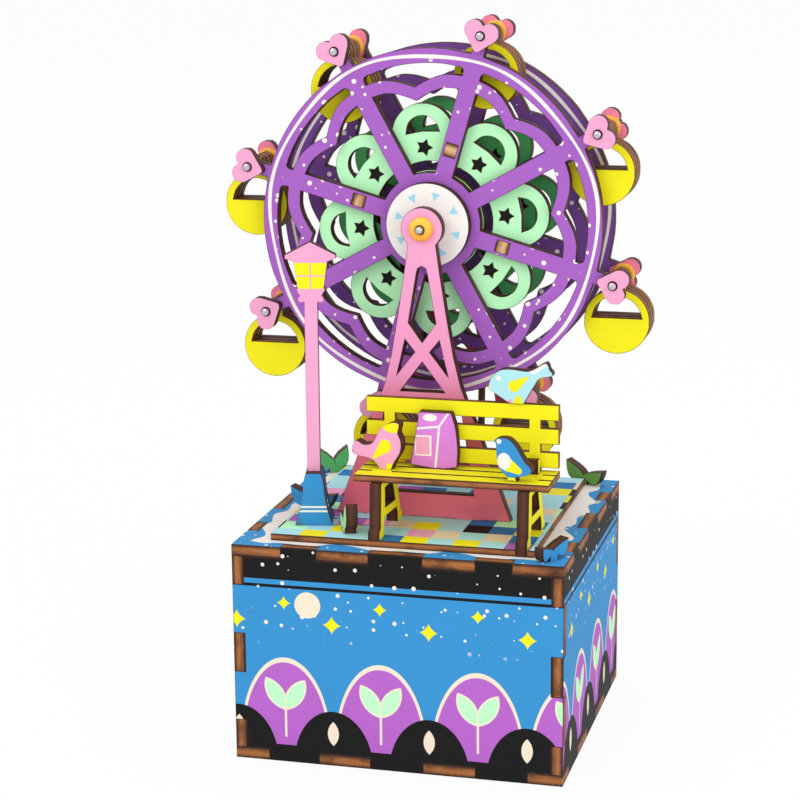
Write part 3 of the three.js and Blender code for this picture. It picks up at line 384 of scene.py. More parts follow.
    def noise(self, scale: tuple[float, float, float], detail: float = 2.0,
              where: Optional[bpy.types.NodeSocket] = None) -> Term:
        """Gives noise around 0.5, with its cycles per millimetre along each axis.

        Args:
            scale: Cycles per millimetre along X, Y and Z.
            detail: Steps of finer noise.
            where: The point, if it isn't the one on the object.

        Returns:
            The noise.
        """
        spread = self.vector_math("MULTIPLY", {0: where or self.place(), 1: scale})
        inputs = {"Vector": spread.outputs[0], "Scale": 1.0, "Detail": detail}
        return Term(self, self.node("ShaderNodeTexNoise", {}, inputs).outputs[0])

    def cloud(self, rate: float, detail: float = 2.0,
              where: Optional[bpy.types.NodeSocket] = None) -> Term:
        """Gives noise that is alike along all axes."""
        return self.noise((rate, rate, rate), detail, where)

    def chance(self, where: bpy.types.NodeSocket) -> Term:
        """Gives a random number from 0 to 1 for each point of a grid."""
        node = self.node("ShaderNodeTexWhiteNoise", {"noise_dimensions": "2D"}, {"Vector": where})
        return Term(self, node.outputs["Value"])

    def specks(self, u: Number, v: Number, pitch: float, radius: float) -> Term:
        """Masks scattered round dots of mixed sizes.

        Args:
            u: Place across the print, in millimetres.
            v: Place up the print, in millimetres.
            pitch: Mean distance of the dots.
            radius: Radius of the largest dots.

        Returns:
            The mask.
        """
        where = self.vector(u / pitch, v / pitch)
        cells = self.node("ShaderNodeTexVoronoi", {"voronoi_dimensions": "2D"},
                          {"Vector": where, "Scale": 1.0})
        tint = self.node("ShaderNodeSeparateColor", {}, {0: cells.outputs["Color"]})
        size = Term(self, tint.outputs[0]) * radius
        return (size - Term(self, cells.outputs["Distance"]) * pitch).inside()

    def reach(self, u: Number, v: Number) -> Term:
        """Gives the length of a flat vector."""
        return self.math("SQRT", u * u + v * v)

    def disc(self, u: Term, v: Term, centre: Spot, radius: float, tall: float = 1.0) -> Term:
        """Masks a round spot, stretched upwards by a factor."""
        return (radius - self.reach(u - centre[0], (v - centre[1]) / tall)).inside()

    def slab(self, u: Term, v: Term, centre: Spot, half: Spot) -> Term:
        """Masks an upright rectangle.

        Args:
            u: Place across the print, in millimetres.
            v: Place up the print, in millimetres.
            centre: Its middle.
            half: Half its width and height.

        Returns:
            The mask.
        """
        across = half[0] - abs(u - centre[0])
        upward = half[1] - abs(v - centre[1])
        return (across & upward).inside()

    def stroke(self, u: Term, v: Term, start: Spot, end: Spot, half: float,
               end_half: Optional[float] = None) -> Term:
        """Masks a straight stroke with round ends, which may taper to another half width.

        Args:
            u: Place across the print, in millimetres.
            v: Place up the print, in millimetres.
            start: Where it starts.
            end: Where it ends.
            half: Half its width at the start.
            end_half: Half its width at the end, if it tapers.

        Returns:
            The mask.
        """
        run = Vector(end) - Vector(start)
        along = ((u - start[0]) * run.x + (v - start[1]) * run.y) / run.length_squared
        held = along.ramp(0.0, 1.0)
        wide = half + held * ((half if end_half is None else end_half) - half)
        beside = self.reach(u - (held * run.x + start[0]), v - (held * run.y + start[1]))
        return (wide - beside).inside()

    def leaf(self, u: Term, v: Term, centre: Spot, size: Spot, turn: float) -> Term:
        """Masks a leaf with two pointed ends.

        Args:
            u: Place across the print, in millimetres.
            v: Place up the print, in millimetres.
            centre: The leaf's middle.
            size: Its length and width.
            turn: Degrees from level, anticlockwise.

        Returns:
            The mask.
        """
        angle = math.radians(turn)
        along = (u - centre[0]) * math.cos(angle) + (v - centre[1]) * math.sin(angle)
        across = (v - centre[1]) * math.cos(angle) - (u - centre[0]) * math.sin(angle)
        length, half = size[0] / 2, size[1] / 2
        radius = (length * length + half * half) / (2 * half)
        return (radius - self.reach(along, abs(across) + (radius - half))).inside()

    def sparkle(self, u: Term, v: Term, centre: Spot, size: float,
                hollow: float = 0.72) -> Term:
        """Masks a four-pointed twinkle.

        Args:
            u: Place across the print, in millimetres.
            v: Place up the print, in millimetres.
            centre: Its middle.
            size: From its middle to its points.
            hollow: The lower, the thinner its arms.

        Returns:
            The mask.
        """
        across = abs(u - centre[0]) / size
        upward = abs(v - centre[1]) / size
        return ((1.0 - across ** hollow - upward ** hollow) * size).inside()

    def finish(self, colour: Paint, roughness: Number, height: Optional[Term] = None,
               depth: float = 0.02, **constants: float) -> bpy.types.Material:
        """Closes the material with a shader.

        Args:
            colour: Base colour.
            roughness: Roughness.
            height: Relief from 0 to 1.
            depth: Millimetres that a relief of 1 stands for.
            constants: Other sockets of the shader, by name with spaces written as underscores.

        Returns:
            The material.
        """
        fixed = {name.replace("_", " "): value for name, value in constants.items()}
        shader = self.node("ShaderNodeBsdfPrincipled", {},
                           {"Base Color": colour, "Roughness": roughness, **fixed})
        if height is not None:
            relief = {"Height": height, "Distance": depth * MM, "Strength": 1.0}
            bump = self.node("ShaderNodeBump", {}, relief)
            self._plug(shader.inputs["Normal"], bump.outputs["Normal"])
        self.node("ShaderNodeOutputMaterial", {}, {0: shader.outputs[0]})
        return self.owner


# Finishes

Pattern = Callable[[Graph], Paint]


class GrainRun(Enum):
    """Which way the face veneer's grain runs, as noise cycles per millimetre along X, Y and Z."""

    LEVEL = (0.10, 0.10, 3.2)
    UPRIGHT = (3.2, 3.2, 0.10)
    ACROSS_FLAT = (0.10, 3.2, 3.2)


@dataclass(frozen=True)
class PrintedFace:
    """A printed face: ink over fine veneer, with a scorched hairline where the laser passed."""

    name: str
    ink: Ink = Ink.WHITE
    pattern: Optional[Pattern] = None
    grain: GrainRun = GrainRun.LEVEL
    grain_share: float = 0.055
    scorch_share: float = 0.55
    gloss: float = 0.62

    def material(self) -> bpy.types.Material:
        """Makes the material.

        Returns:
            The material.
        """
        graph = Graph.of_material(self.name)
        colour = self.pattern(graph) if self.pattern else self.ink
        fibres = graph.noise(self.grain.value, 3.0)
        mottle = graph.cloud(0.16, 2.0)
        weave = graph.cloud(2.6, 1.0)
        tone = 1.0 + (fibres - 0.5) * self.grain_share * 1.6 + (mottle - 0.5) * self.grain_share
        tone = tone + (weave - 0.5) * self.grain_share * 0.7
        toned = graph.mix(1.0, colour, graph.vector(tone, tone, tone), "MULTIPLY")
        ragged = graph.cloud(1.7, 3.0)
        scorch = (graph.attribute("soot") + (ragged - 0.5) * 0.9).ramp(0.42, 1.05)
        edged = graph.mix(scorch * self.scorch_share, toned, Ink.BURNT)
        rough = self.gloss + (mottle - 0.5) * 0.12 + scorch * 0.15
        height = fibres * 0.7 + weave * 0.3 - scorch * 0.5
        return graph.finish(edged, rough, height, 0.02, Specular_IOR_Level=0.12)


@dataclass(frozen=True)
class BurntWall:
    """A laser-cut wall: burnt streaks between charred lips, paler where soot has worn off, with a
    pale middle line that is partly a ply seam and partly a painted highlight.
    """

    name: str = "laser_cut_wall"
    base: Ink = Ink.BURNT
    worn: Ink = Ink.TOAST
    wear: float = 0.85
    lip_share: float = 0.95
    stretch: float = 9.0
    # Depth of the pale line, which is partly a ply seam and partly a painted highlight
    seam_and_sheen: float = 0.56

    def material(self) -> bpy.types.Material:
        """Makes the material.

        Returns:
            The material.
        """
        graph = Graph.of_material(self.name)
        depth = graph.attribute("ply")
        lay = graph.direction("lay")
        point = graph.place()
        share = Term(graph, graph.vector_math("DOT_PRODUCT", {0: point, 1: lay}).outputs["Value"])
        pressed = graph.vector_math("SCALE", {0: lay, "Scale": share * self.stretch})
        drawn = graph.vector_math("ADD", {0: point, 1: pressed.outputs[0]}).outputs[0]
        streaks = graph.cloud(0.22, 3.0, drawn)
        patches = graph.cloud(0.16, 2.0)
        grit = graph.cloud(3.4, 3.0)
        inward = 0.5 - abs(depth - 0.5 + (patches - 0.5) * 0.06)
        light = (streaks * 0.4 + grit * 0.5 + patches * 0.4).ramp(0.5, 0.82)
        wood = graph.mix(light * self.wear, self.base, self.worn)
        # Pale line along the wall at a set depth: partly a ply seam, partly a painted highlight of
        # the charred wood's gloss
        seam_and_sheen = 1.0 - abs(depth - self.seam_and_sheen + (streaks - 0.5) * 0.12).ramp(0.04, 0.24)
        lined = graph.mix(seam_and_sheen * (patches.ramp(0.25, 0.5) * 0.75), wood, self.worn)
        lip = 1.0 - (inward + (grit - 0.5) * 0.09).ramp(0.07, 0.27)
        sooty = graph.mix(lip * self.lip_share, lined, Ink.CHAR)
        dark = patches.ramp(0.5, 0.25) * 0.4
        colour = graph.mix(dark, sooty, Ink.CHAR)
        height = streaks * 0.7 + grit * 0.3 - lip * 0.4
        return graph.finish(colour, 0.74 - light * 0.2, height, 0.05, Specular_IOR_Level=0.35)


WARM_WALL = BurntWall()
# Walls of the wheel, the frames and the smaller pieces: burnt like the others, and darker by
# painted shade where their cut edges lie in shade
SHADED_WALL = BurntWall("shaded_burnt_wall", Ink.SHADED_BURNT, Ink.BURNT, 0.6, 0.7)
COPPER_WALL = BurntWall("tenon_wall", Ink.COPPER, Ink.BIRCH, 0.6, 0.8)


@dataclass(frozen=True)
class BareFace:
    """Unprinted birch veneer."""

    name: str = "bare_veneer"
    tint: Ink = Ink.BIRCH

    def material(self) -> bpy.types.Material:
        """Makes the material.

        Returns:
            The material.
        """
        graph = Graph.of_material(self.name)
        fibres = graph.noise((0.12, 0.12, 2.6), 4.0)
        rings = graph.noise((0.05, 0.3, 0.5), 3.0)
        wood = graph.mix((fibres * 0.6 + rings * 0.5).ramp(0.35, 0.75), self.tint, Ink.TOAST)
        paler = graph.mix(0.6, wood, self.tint)
        ragged = graph.cloud(1.4)
        scorch = (graph.attribute("soot") + (ragged - 0.5) * 0.9).ramp(0.3, 1.05)
        edged = graph.mix(scorch * 0.7, paler, Ink.BURNT)
        rough = 0.66 + (fibres - 0.5) * 0.2
        return graph.finish(edged, rough, fibres, 0.03, Specular_IOR_Level=0.3)


@dataclass(frozen=True)
class Metal:
    """Turned or stamped metal with fine scratches."""

    name: str
    tint: Ink = Ink.STEEL
    shine: float = 0.24

    def material(self) -> bpy.types.Material:
        """Makes the material.

        Returns:
            The material.
        """
        graph = Graph.of_material(self.name)
        lathe = graph.noise((0.6, 7.0, 0.6), 3.0)
        smudge = graph.cloud(0.8, 2.0)
        tone = 0.93 + (lathe - 0.5) * 0.22 + (smudge - 0.5) * 0.12
        colour = graph.mix(1.0, self.tint, graph.vector(tone, tone, tone), "MULTIPLY")
        rough = self.shine + (smudge - 0.5) * 0.16 + (lathe - 0.5) * 0.12
        return graph.finish(colour, rough, lathe, 0.008, Metallic=1.0)


@dataclass(frozen=True)
class Plastic:
    """Smooth moulded or lacquered material, darker below and lighter on top by painted shade, as
    if lit from above.
    """

    name: str
    tint: Ink
    shade_tint: Ink
    low: float = 0.0
    high: float = 1.0
    shine: float = 0.32

    def material(self) -> bpy.types.Material:
        """Makes the material.

        Returns:
            The material.
        """
        graph = Graph.of_material(self.name)
        height = graph.axes()[2]
        cloud = graph.cloud(0.5, 2.0)
        # Painted shade: the colour runs by height from the darker ink below to the lighter one on
        # top
        share = (height + (cloud - 0.5) * 1.2).ramp(self.low, self.high)
        colour = graph.mix(share, self.shade_tint, self.tint)
        grit = graph.cloud(4.0, 2.0)
        return graph.finish(colour, self.shine + (grit - 0.5) * 0.1, grit, 0.006, Coat_Weight=0.12)


@dataclass(frozen=True)
class Rubber:
    """Matt black rubber of the drive belt."""

    name: str = "belt_rubber"

    def material(self) -> bpy.types.Material:
        """Makes the material.

        Returns:
            The material.
        """
        graph = Graph.of_material(self.name)
        grit = graph.cloud(5.0, 3.0)
        dust = graph.cloud(0.3, 2.0).ramp(0.45, 0.8)
        colour = graph.mix(dust * 0.25, Ink.RUBBER, Ink.TOAST)
        return graph.finish(colour, 0.62 + (grit - 0.5) * 0.2, grit, 0.015, Specular_IOR_Level=0.4)


Finish = Union[PrintedFace, BurntWall, BareFace, Metal, Plastic, Rubber]


class Palette:
    """Makes each finish once and hands it out by name."""

    def __init__(self) -> None:
        """Starts empty."""
        self._made: dict[str, bpy.types.Material] = {}

    def get(self, finish: Finish) -> bpy.types.Material:
        """Gives the material of a finish.

        Args:
            finish: The finish.

        Returns:
            Its material.
        """
        if finish.name not in self._made:
            self._made[finish.name] = finish.material()
        return self._made[finish.name]


# Cut outlines

Loop = list[Vector]


@dataclass
class Outline:
    """The closed cutting lines of one flat sheet, on its front face."""

    loops: list[Loop]
    normal: Vector
    thickness: float

    @classmethod
    def of_solid(cls, solid: bpy.types.Object, facing: Vector,
                 plane: Optional[float] = None) -> Outline:
        """Reads the cutting lines of a solid in the frame.

        Args:
            solid: The solid.
            facing: Roughly where the front face looks.
            plane: Where the face lies along facing, in metres, if it isn't the foremost one.

        Returns:
            The outline, smoothed.
        """
        mesh = bmesh.new()
        mesh.from_mesh(solid.data)
        bmesh.ops.remove_doubles(mesh, verts=mesh.verts, dist=WELD)
        mesh.normal_update()
        normal = cls._main_normal(mesh, facing)
        places = [vert.co.dot(normal) for vert in mesh.verts]
        level = max(places) if plane is None else plane
        cap = {face for face in mesh.faces if face.normal.dot(normal) > PARALLEL
               and abs(face.verts[0].co.dot(normal) - level) < SAME_PLANE}
        rims = [edge for edge in mesh.edges
                if sum(face in cap for face in edge.link_faces) == 1]
        box = [[vert.co[axis] for vert in mesh.verts] for axis in range(3)]
        loops = [smoothed(straightened(loop)) for loop in cls._chains(rims)]
        mesh.free()
        for point in (point for loop in loops for point in loop):
            for axis, spread in enumerate(box):
                point[axis] = min(max(point[axis], min(spread)), max(spread))
        return cls(loops, normal, max(places) - min(places))

    @staticmethod
    def _main_normal(mesh: bmesh.types.BMesh, facing: Vector) -> Vector:
        """Finds the direction of the largest flat faces, turned towards facing.

        Args:
            mesh: The solid.
            facing: Roughly where the front face looks.

        Returns:
            The direction.
        """
        areas: dict[tuple, float] = {}
        for face in mesh.faces:
            normal = face.normal if face.normal.dot(facing) >= 0 else -face.normal
            key = tuple(round(part, 3) for part in normal)
            weight = 1.0 if abs(normal.dot(facing)) > SIDEWAYS else SIDE_WEIGHT
            areas[key] = areas.get(key, 0.0) + face.calc_area() * weight
        return Vector(max(areas, key=areas.get)).normalized()

    @staticmethod
    def _chains(rims: Sequence[bmesh.types.BMEdge]) -> list[Loop]:
        """Orders loose edges into closed lines, from the first edge on, so that runs agree.

        Args:
            rims: The edges round a flat face.

        Returns:
            The lines' points.
        """
        left = dict.fromkeys(rims)
        loops = []
        while left:
            edge = next(iter(left))
            del left[edge]
            start, here = edge.verts
            points = [start.co.copy(), here.co.copy()]
            while here != start:
                step = next(e for e in here.link_edges if e in left)
                del left[step]
                here = step.other_vert(here)
                points.append(here.co.copy())
            loops.append(points[:-1])
        return loops

    def moved(self, shift: Vector) -> Outline:
        """Gives the same outline in another place."""
        loops = [[point + shift for point in loop] for loop in self.loops]
        return Outline(loops, self.normal, self.thickness)

    def picked(self, test: Callable[[Loop, float], bool]) -> Outline:
        """Keeps the lines that pass a test on their points and their length in millimetres."""
        kept = [loop for loop in self.loops if test(loop, line_length(loop))]
        return Outline(kept, self.normal, self.thickness)

    def largest(self) -> Outline:
        """Keeps the longest line alone."""
        return Outline([max(self.loops, key=line_length)], self.normal, self.thickness)


def line_length(loop: Loop) -> float:
    """Gives a closed line's length, in millimetres."""
    return sum((loop[i - 1] - loop[i]).length for i in range(len(loop))) / MM


def straightened(points: Loop, limit: float = math.radians(0.6)) -> Loop:
    """Drops points that lie on a straight line between their neighbours.

    Args:
        points: The line's points.
        limit: A turn below this counts as straight.

    Returns:
        The points that are left.
    """
    count = len(points)
    kept = []
    for i, point in enumerate(points):
        before = point - points[i - 1]
        after = points[(i + 1) % count] - point
        if before.angle(after, math.pi) > limit:
            kept.append(point)
    return kept


def smoothed(points: Loop, corner: float = math.radians(41),
             step: float = math.radians(7)) -> Loop:
    """Turns runs of short straight cuts into curves and leaves corners sharp.

    Args:
        points: The line's points.
        corner: A turn above this stays a corner.
        step: The turn between two points of a curve.

    Returns:
        The finer line.
    """
    count = len(points)
    runs = [points[(i + 1) % count] - points[i] for i in range(count)]
    turns = [runs[i - 1].angle(runs[i], 0.0) for i in range(count)]
    tangents = [_tangent(runs[i - 1], runs[i], turns[i] < corner) for i in range(count)]
    fine: Loop = []
    for i in range(count):
        start, end, run = points[i], points[(i + 1) % count], runs[i]
        leave = tangents[i] or run.normalized()
        arrive = tangents[(i + 1) % count] or run.normalized()
        bend = leave.angle(run, 0.0) + arrive.angle(run, 0.0)
        pieces = max(1, min(MOST_PIECES, math.ceil(bend / step)))
        arc = run.length * (1 + bend * bend / 24)  # an arc's length from its chord
        for k in range(pieces):
            fine.append(_hermite(start, end, leave * arc, arrive * arc, k / pieces))
    return fine


def _tangent(before: Vector, after: Vector, soft: bool) -> Optional[Vector]:
    """Gives a curve's direction at a point, or None at a corner.

    Args:
        before: The cut that ends at the point.
        after: The cut that starts there.
        soft: Whether the point lies on a curve.

    Returns:
        The direction.
    """
    if not soft:
        return None
    ratio = before.length / after.length
    if ratio > UNEVEN:
        return before.normalized()
    if ratio < 1 / UNEVEN:
        return after.normalized()
    blend = before.normalized() * after.length + after.normalized() * before.length
    return blend.normalized()


def _hermite(start: Vector, end: Vector, leave: Vector, arrive: Vector, share: float) -> Vector:
    """Gives a point of the curve between two points with set directions.

    Args:
        start: The first point.
        end: The last point.
        leave: The direction at the first point, as long as the curve.
        arrive: The same at the last point.
        share: How far along, from 0 to 1.

    Returns:
        The point.
    """
    s2, s3 = share ** 2, share ** 3
    return (start * (2 * s3 - 3 * s2 + 1) + leave * (s3 - 2 * s2 + share)
            + end * (3 * s2 - 2 * s3) + arrive * (s3 - s2))


# Pieces


class Skin(IntEnum):
    """The three kinds of a sheet's faces, as its material numbers."""

    FRONT = 0
    BACK = 1
    WALL = 2


@dataclass
class Workshop:
    """Cuts sheets, turns rods and hands over finished pieces."""

    palette: Palette
    nodes: dict[str, bpy.types.Object]
    bodies: dict[str, str]
    eased: float = 0.10 * MM
    rim: float = 0.22 * MM
    made: int = 0

    def piece(self, name: str, mesh: bmesh.types.BMesh, finishes: Sequence[Finish], slot: str,
              body: str, stands_for: Sequence[str] = (),
              sharp: float = 38.0) -> bpy.types.Object:
        """Makes an object of a mesh, dresses it and lets it ride.

        Args:
            name: The piece's name.
            mesh: Its shape, in place.
            finishes: Its finishes, in the order of its faces' material numbers.
            slot: The record's finish slot; not used.
            body: The body that carries it.
            stands_for: Solids that it replaces.
            sharp: Degrees from which an edge is shown sharp.

        Returns:
            The object.
        """
        data = bpy.data.meshes.new(name)
        mesh.to_mesh(data)
        mesh.free()
        data.set_sharp_from_angle(angle=math.radians(sharp))
        obj = bpy.data.objects.new(name, data)
        bpy.context.scene.collection.objects.link(obj)
        for finish in finishes:
            data.materials.append(self.palette.get(finish))
        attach(obj, body)
        if stands_for:
            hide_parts(*stands_for)
        self.made += 1
        LOG.info("%s on %s: %d faces", name, body, len(data.polygons))
        return obj

    def sheet_mesh(self, outline: Outline,
                   thickness: Optional[float] = None) -> bmesh.types.BMesh:
        """Fills an outline, gives it thickness, eases its edges and marks its rims.

        Args:
            outline: The cutting lines on its front face.
            thickness: Its thickness, if not the outline's own.

        Returns:
            The mesh, with the material numbers of Skin.
        """
        deep = thickness or outline.thickness
        normal = outline.normal
        mesh = bmesh.new()
        for loop in outline.loops:
            verts = [mesh.verts.new(point) for point in loop]
            for i, vert in enumerate(verts):
                mesh.edges.new((verts[i - 1], vert))
        bmesh.ops.triangle_fill(mesh, use_beauty=True, edges=mesh.edges[:], normal=normal)
        grown = bmesh.ops.extrude_face_region(mesh, geom=mesh.faces[:])
        lower = [part for part in grown["geom"] if isinstance(part, bmesh.types.BMVert)]
        bmesh.ops.translate(mesh, verts=lower, vec=-normal * deep)
        bmesh.ops.recalc_face_normals(mesh, faces=mesh.faces[:])
        lips = [edge for edge in mesh.edges
                if sum(abs(face.normal.dot(normal)) > NEARLY_OUT for face in edge.link_faces) == 1]
        bmesh.ops.bevel(mesh, geom=lips, offset=self.eased, segments=2, profile=0.5,
                        affect="EDGES", material=-1, clamp_overlap=True)
        self._mark(mesh, normal, deep)
        return mesh

    def _mark(self, mesh: bmesh.types.BMesh, normal: Vector, deep: float) -> None:
        """Insets both faces by a hairline and writes the sheet's attributes.

        Args:
            mesh: The sheet.
            normal: Where its front looks.
            deep: Its thickness, in metres.
        """
        top = max(vert.co.dot(normal) for vert in mesh.verts)
        for side in (1.0, -1.0):
            cap = [face for face in mesh.faces if face.normal.dot(normal) * side > FACES_OUT]
            bmesh.ops.inset_region(mesh, faces=cap, thickness=self.rim, depth=0.0,
                                   use_even_offset=True)
        soot = mesh.verts.layers.float.new("soot")
        ply = mesh.verts.layers.float.new("ply")
        lay = mesh.verts.layers.float_vector.new("lay")
        for face in mesh.faces:
            aim = face.normal.dot(normal)
            face.material_index = (Skin.FRONT if aim > FACES_OUT
                                   else Skin.BACK if aim < -FACES_OUT else Skin.WALL)
            face.smooth = face.material_index == Skin.WALL
        for vert in mesh.verts:
            flat = all(face.material_index != Skin.WALL for face in vert.link_faces)
            vert[soot] = 0.0 if flat else 1.0
            vert[ply] = min(1.0, max(0.0, 1.0 - (top - vert.co.dot(normal)) / deep))
            vert[lay] = normal

    def sheet(self, node: str, front: Finish, slot: str, facing: Vector = TO_FRONT,
              back: Optional[Finish] = None, wall: BurntWall = SHADED_WALL) -> bpy.types.Object:
        """Cuts a solid's sheet again in its place.

        Args:
            node: The solid's name, and the body's key.
            front: The finish of its front.
            slot: The record's finish slot.
            facing: Roughly where its front looks.
            back: The finish of its back, if it differs.
            wall: The finish of its cut edges.

        Returns:
            The piece.
        """
        mesh = self.sheet_mesh(Outline.of_solid(self.nodes[node], facing))
        return self.stand_in(node, node + "_sheet", mesh, (front, back or front, wall), slot)

    def stand_in(self, node: str, name: str, mesh: bmesh.types.BMesh,
                 finishes: Sequence[Finish], slot: str) -> bpy.types.Object:
        """Makes a piece that takes the place of one solid, on that solid's body."""
        return self.piece(name, mesh, finishes, slot, self.bodies[node], (node,))

    @staticmethod
    def turned_mesh(profile: Sequence[Spot], centre: Vector, steps: int = 48,
                    eased: float = 0.06) -> bmesh.types.BMesh:
        """Turns a profile about a line along Y.

        Args:
            profile: Pairs of radius and Y, in millimetres.
            centre: A point on the axis, in metres.
            steps: Faces round the axis.
            eased: Millimetres taken off sharp edges.

        Returns:
            The mesh.
        """
        mesh = bmesh.new()
        verts = [mesh.verts.new((centre.x + radius * MM, y * MM, centre.z))
                 for radius, y in profile]
        edges = [mesh.edges.new(pair) for pair in zip(verts, verts[1:])]
        bmesh.ops.spin(mesh, geom=verts + edges, cent=centre, axis=(0, 1, 0), angle=FULL_TURN,
                       steps=steps, use_merge=True, use_duplicate=False)
        bmesh.ops.remove_doubles(mesh, verts=mesh.verts[:], dist=SEAM_WELD)
        bmesh.ops.recalc_face_normals(mesh, faces=mesh.faces[:])
        hard = [edge for edge in mesh.edges
                if len(edge.link_faces) == 2 and edge.calc_face_angle(0) > HARD_EDGE]
        if eased and hard:
            bmesh.ops.bevel(mesh, geom=hard, offset=eased * MM, segments=2, profile=0.5,
                            affect="EDGES", material=-1, clamp_overlap=True)
        for face in mesh.faces:
            face.smooth = True
        return mesh

    def dress(self, node: str, finish: Finish) -> None:
        """Gives a solid of the frame its finish and keeps its shape.

        Args:
            node: The solid's name.
            finish: Its finish.
        """
        data = self.nodes[node].data
        data.materials.clear()
        data.materials.append(self.palette.get(finish))
        LOG.info("%s keeps its solid", node)


def turned_front(angle: float) -> Vector:
    """Gives where a sheet looks that is turned from the front by an angle in radians."""
    return Vector((math.sin(angle), -math.cos(angle), 0))


def ring(inner: float, outer: float, front: float, rear: float) -> tuple[Spot, ...]:
    """Gives a flat ring's closed profile from two radii and two places along Y."""
    return (inner, front), (outer, front), (outer, rear), (inner, rear), (inner, front)


# Prints


class Side(Enum):
    """The four walls of the box, with the axis and sign that run to the right on each."""

    FRONT = ("x", 1.0)
    RIGHT = ("y", 1.0)
    REAR = ("x", -1.0)
    LEFT = ("y", -1.0)


@dataclass(frozen=True)
class GardenPrint:
    """A generic night garden: hills with seedlings that repeat below an even row of stars."""

    side: Side
    shift: float
    moon: Optional[Spot] = None
    moon_radius: float = 3.4
    pitch: float = 25.0
    stripe: float = 48.5
    specks_from: float = 33.0
    star: Spot = (37.5, 2.4)
    small_star: Spot = (42.5, 1.8)

    def __call__(self, graph: Graph) -> bpy.types.NodeSocket:
        """Paints the wall.

        Args:
            graph: The print's nodes.

        Returns:
            The colour.
        """
        x, y, v = graph.axes()
        axis, sign = self.side.value
        u = (x if axis == "x" else y) * sign
        half = self.pitch / 2
        hill = (u - self.shift).wrap(-half, half)
        knoll = (u - self.shift - half).wrap(-half, half)
        paint = graph.mix((v - self.stripe).inside(), Ink.BLUE, Ink.BLACK)
        paint = graph.mix((0.4 - abs(v - self.stripe + 1.7)).inside(), paint, Ink.BLACK)
        specks = graph.specks(u, v, 4.8, 0.56) & (v - self.specks_from).inside(4.0)
        paint = graph.mix(specks, paint, Ink.CREAM)
        if self.moon:
            paint = graph.mix(graph.disc(u, v, self.moon, self.moon_radius), paint, Ink.IVORY)
        for across, (height, size) in ((knoll, self.star), (hill, self.small_star)):
            paint = graph.mix(graph.sparkle(across, v, (0.0, height), size), paint, Ink.YELLOW)
        return self._knolls(graph, knoll, v, self._hills(graph, hill, v, paint))

    @staticmethod
    def _hills(graph: Graph, u: Term, v: Term, paint: Paint) -> bpy.types.NodeSocket:
        """Paints the purple hills, each with a seedling.

        Args:
            graph: The print's nodes.
            u: Place across, from a hill's middle.
            v: Place up the print, in millimetres.
            paint: The colour below.

        Returns:
            The colour.
        """
        for spread, ink in ((11.9, Ink.IVORY), (11.2, Ink.LILAC)):
            paint = graph.mix(graph.disc(u, v, (0.0, 6.0), spread, 1.85), paint, ink)
        paint = graph.mix(graph.stroke(u, v, (0.0, 7.0), (0.0, 15.0), 0.3), paint, Ink.IVORY)
        for side in (-1, 1):
            for grown, ink in ((1.0, Ink.IVORY), (0.0, Ink.MINT)):
                size = (8.6 + grown * 1.4, 3.9 + grown * 0.7)
                mask = graph.leaf(u, v, (side * 2.6, 18.2), size, 90 - side * 32)
                paint = graph.mix(mask, paint, ink)
        return paint

    @staticmethod
    def _knolls(graph: Graph, u: Term, v: Term, paint: Paint) -> bpy.types.NodeSocket:
        """Paints the black knolls between the hills, each with a bud, and the ground below.

        Args:
            graph: The print's nodes.
            u: Place across, from a knoll's middle.
            v: Place up the print, in millimetres.
            paint: The colour below.

        Returns:
            The colour.
        """
        paint = graph.mix(graph.disc(u, v, (0.0, 0.0), 10.4, 1.4), paint, Ink.BLACK)
        paint = graph.mix((4.6 - v).inside(), paint, Ink.BLACK)
        return graph.mix(graph.leaf(u, v, (0.0, 8.6), (6.4, 2.9), 90.0), paint, Ink.IVORY)


@dataclass(frozen=True)
class TopPrint:
    """The top sheet: a blue border with a wavy cream field, stars and specks."""

    half_width: float
    half_depth: float
    border: float = 3.9
    stars_to: float = 4.6

    def __call__(self, graph: Graph) -> bpy.types.NodeSocket:
        """Paints the sheet.

        Args:
            graph: The print's nodes.

        Returns:
            The colour.
        """
        x, y, _ = graph.axes()
        inward = (self.half_width - abs(x)) & (self.half_depth - abs(y))
        wave = ((x + y * 1.3) * 0.42).sine() * 0.9 + ((x * 1.2 - y) * 0.19 + 1.0).sine() * 1.2
        cream = (inward - self.border + wave).inside()
        paint = graph.mix(cream, Ink.BLUE, Ink.CREAM)
        stars = graph.specks(x + 31.0, y, 11.0, 1.3)
        paint = graph.mix(stars & (self.stars_to - inward).inside(), paint, Ink.YELLOW)
        return graph.mix(graph.specks(x, y, 4.2, 0.5) & (1.0 - cream), paint, Ink.CREAM)


@dataclass(frozen=True)
class TilePrint:
    """Paving of square tiles, nearly half of them pale blue and the others mixed."""

    pitch: float = 6.6
    start: Spot = (-0.2, -16.9)

    def __call__(self, graph: Graph) -> bpy.types.NodeSocket:
        """Paints the sheet.

        Args:
            graph: The print's nodes.

        Returns:
            The colour.
        """
        x, y, _ = graph.axes()
        column = ((x - self.start[0]) / self.pitch).floor()
        row = ((y - self.start[1]) / self.pitch).floor()
        value = graph.chance(graph.vector(column + 11.5, row + 5.5))
        stops = [(0.0, Ink.TILE), (0.45, Ink.YELLOW), (0.58, Ink.DEEP_BLUE), (0.69, Ink.BLACK),
                 (0.76, Ink.SAND), (0.84, Ink.MINT), (0.92, Ink.LILAC), (0.965, Ink.PINK)]
        ramp = graph.node("ShaderNodeValToRGB", {"stops": stops, "steps": True}, {0: value})
        return ramp.outputs[0]


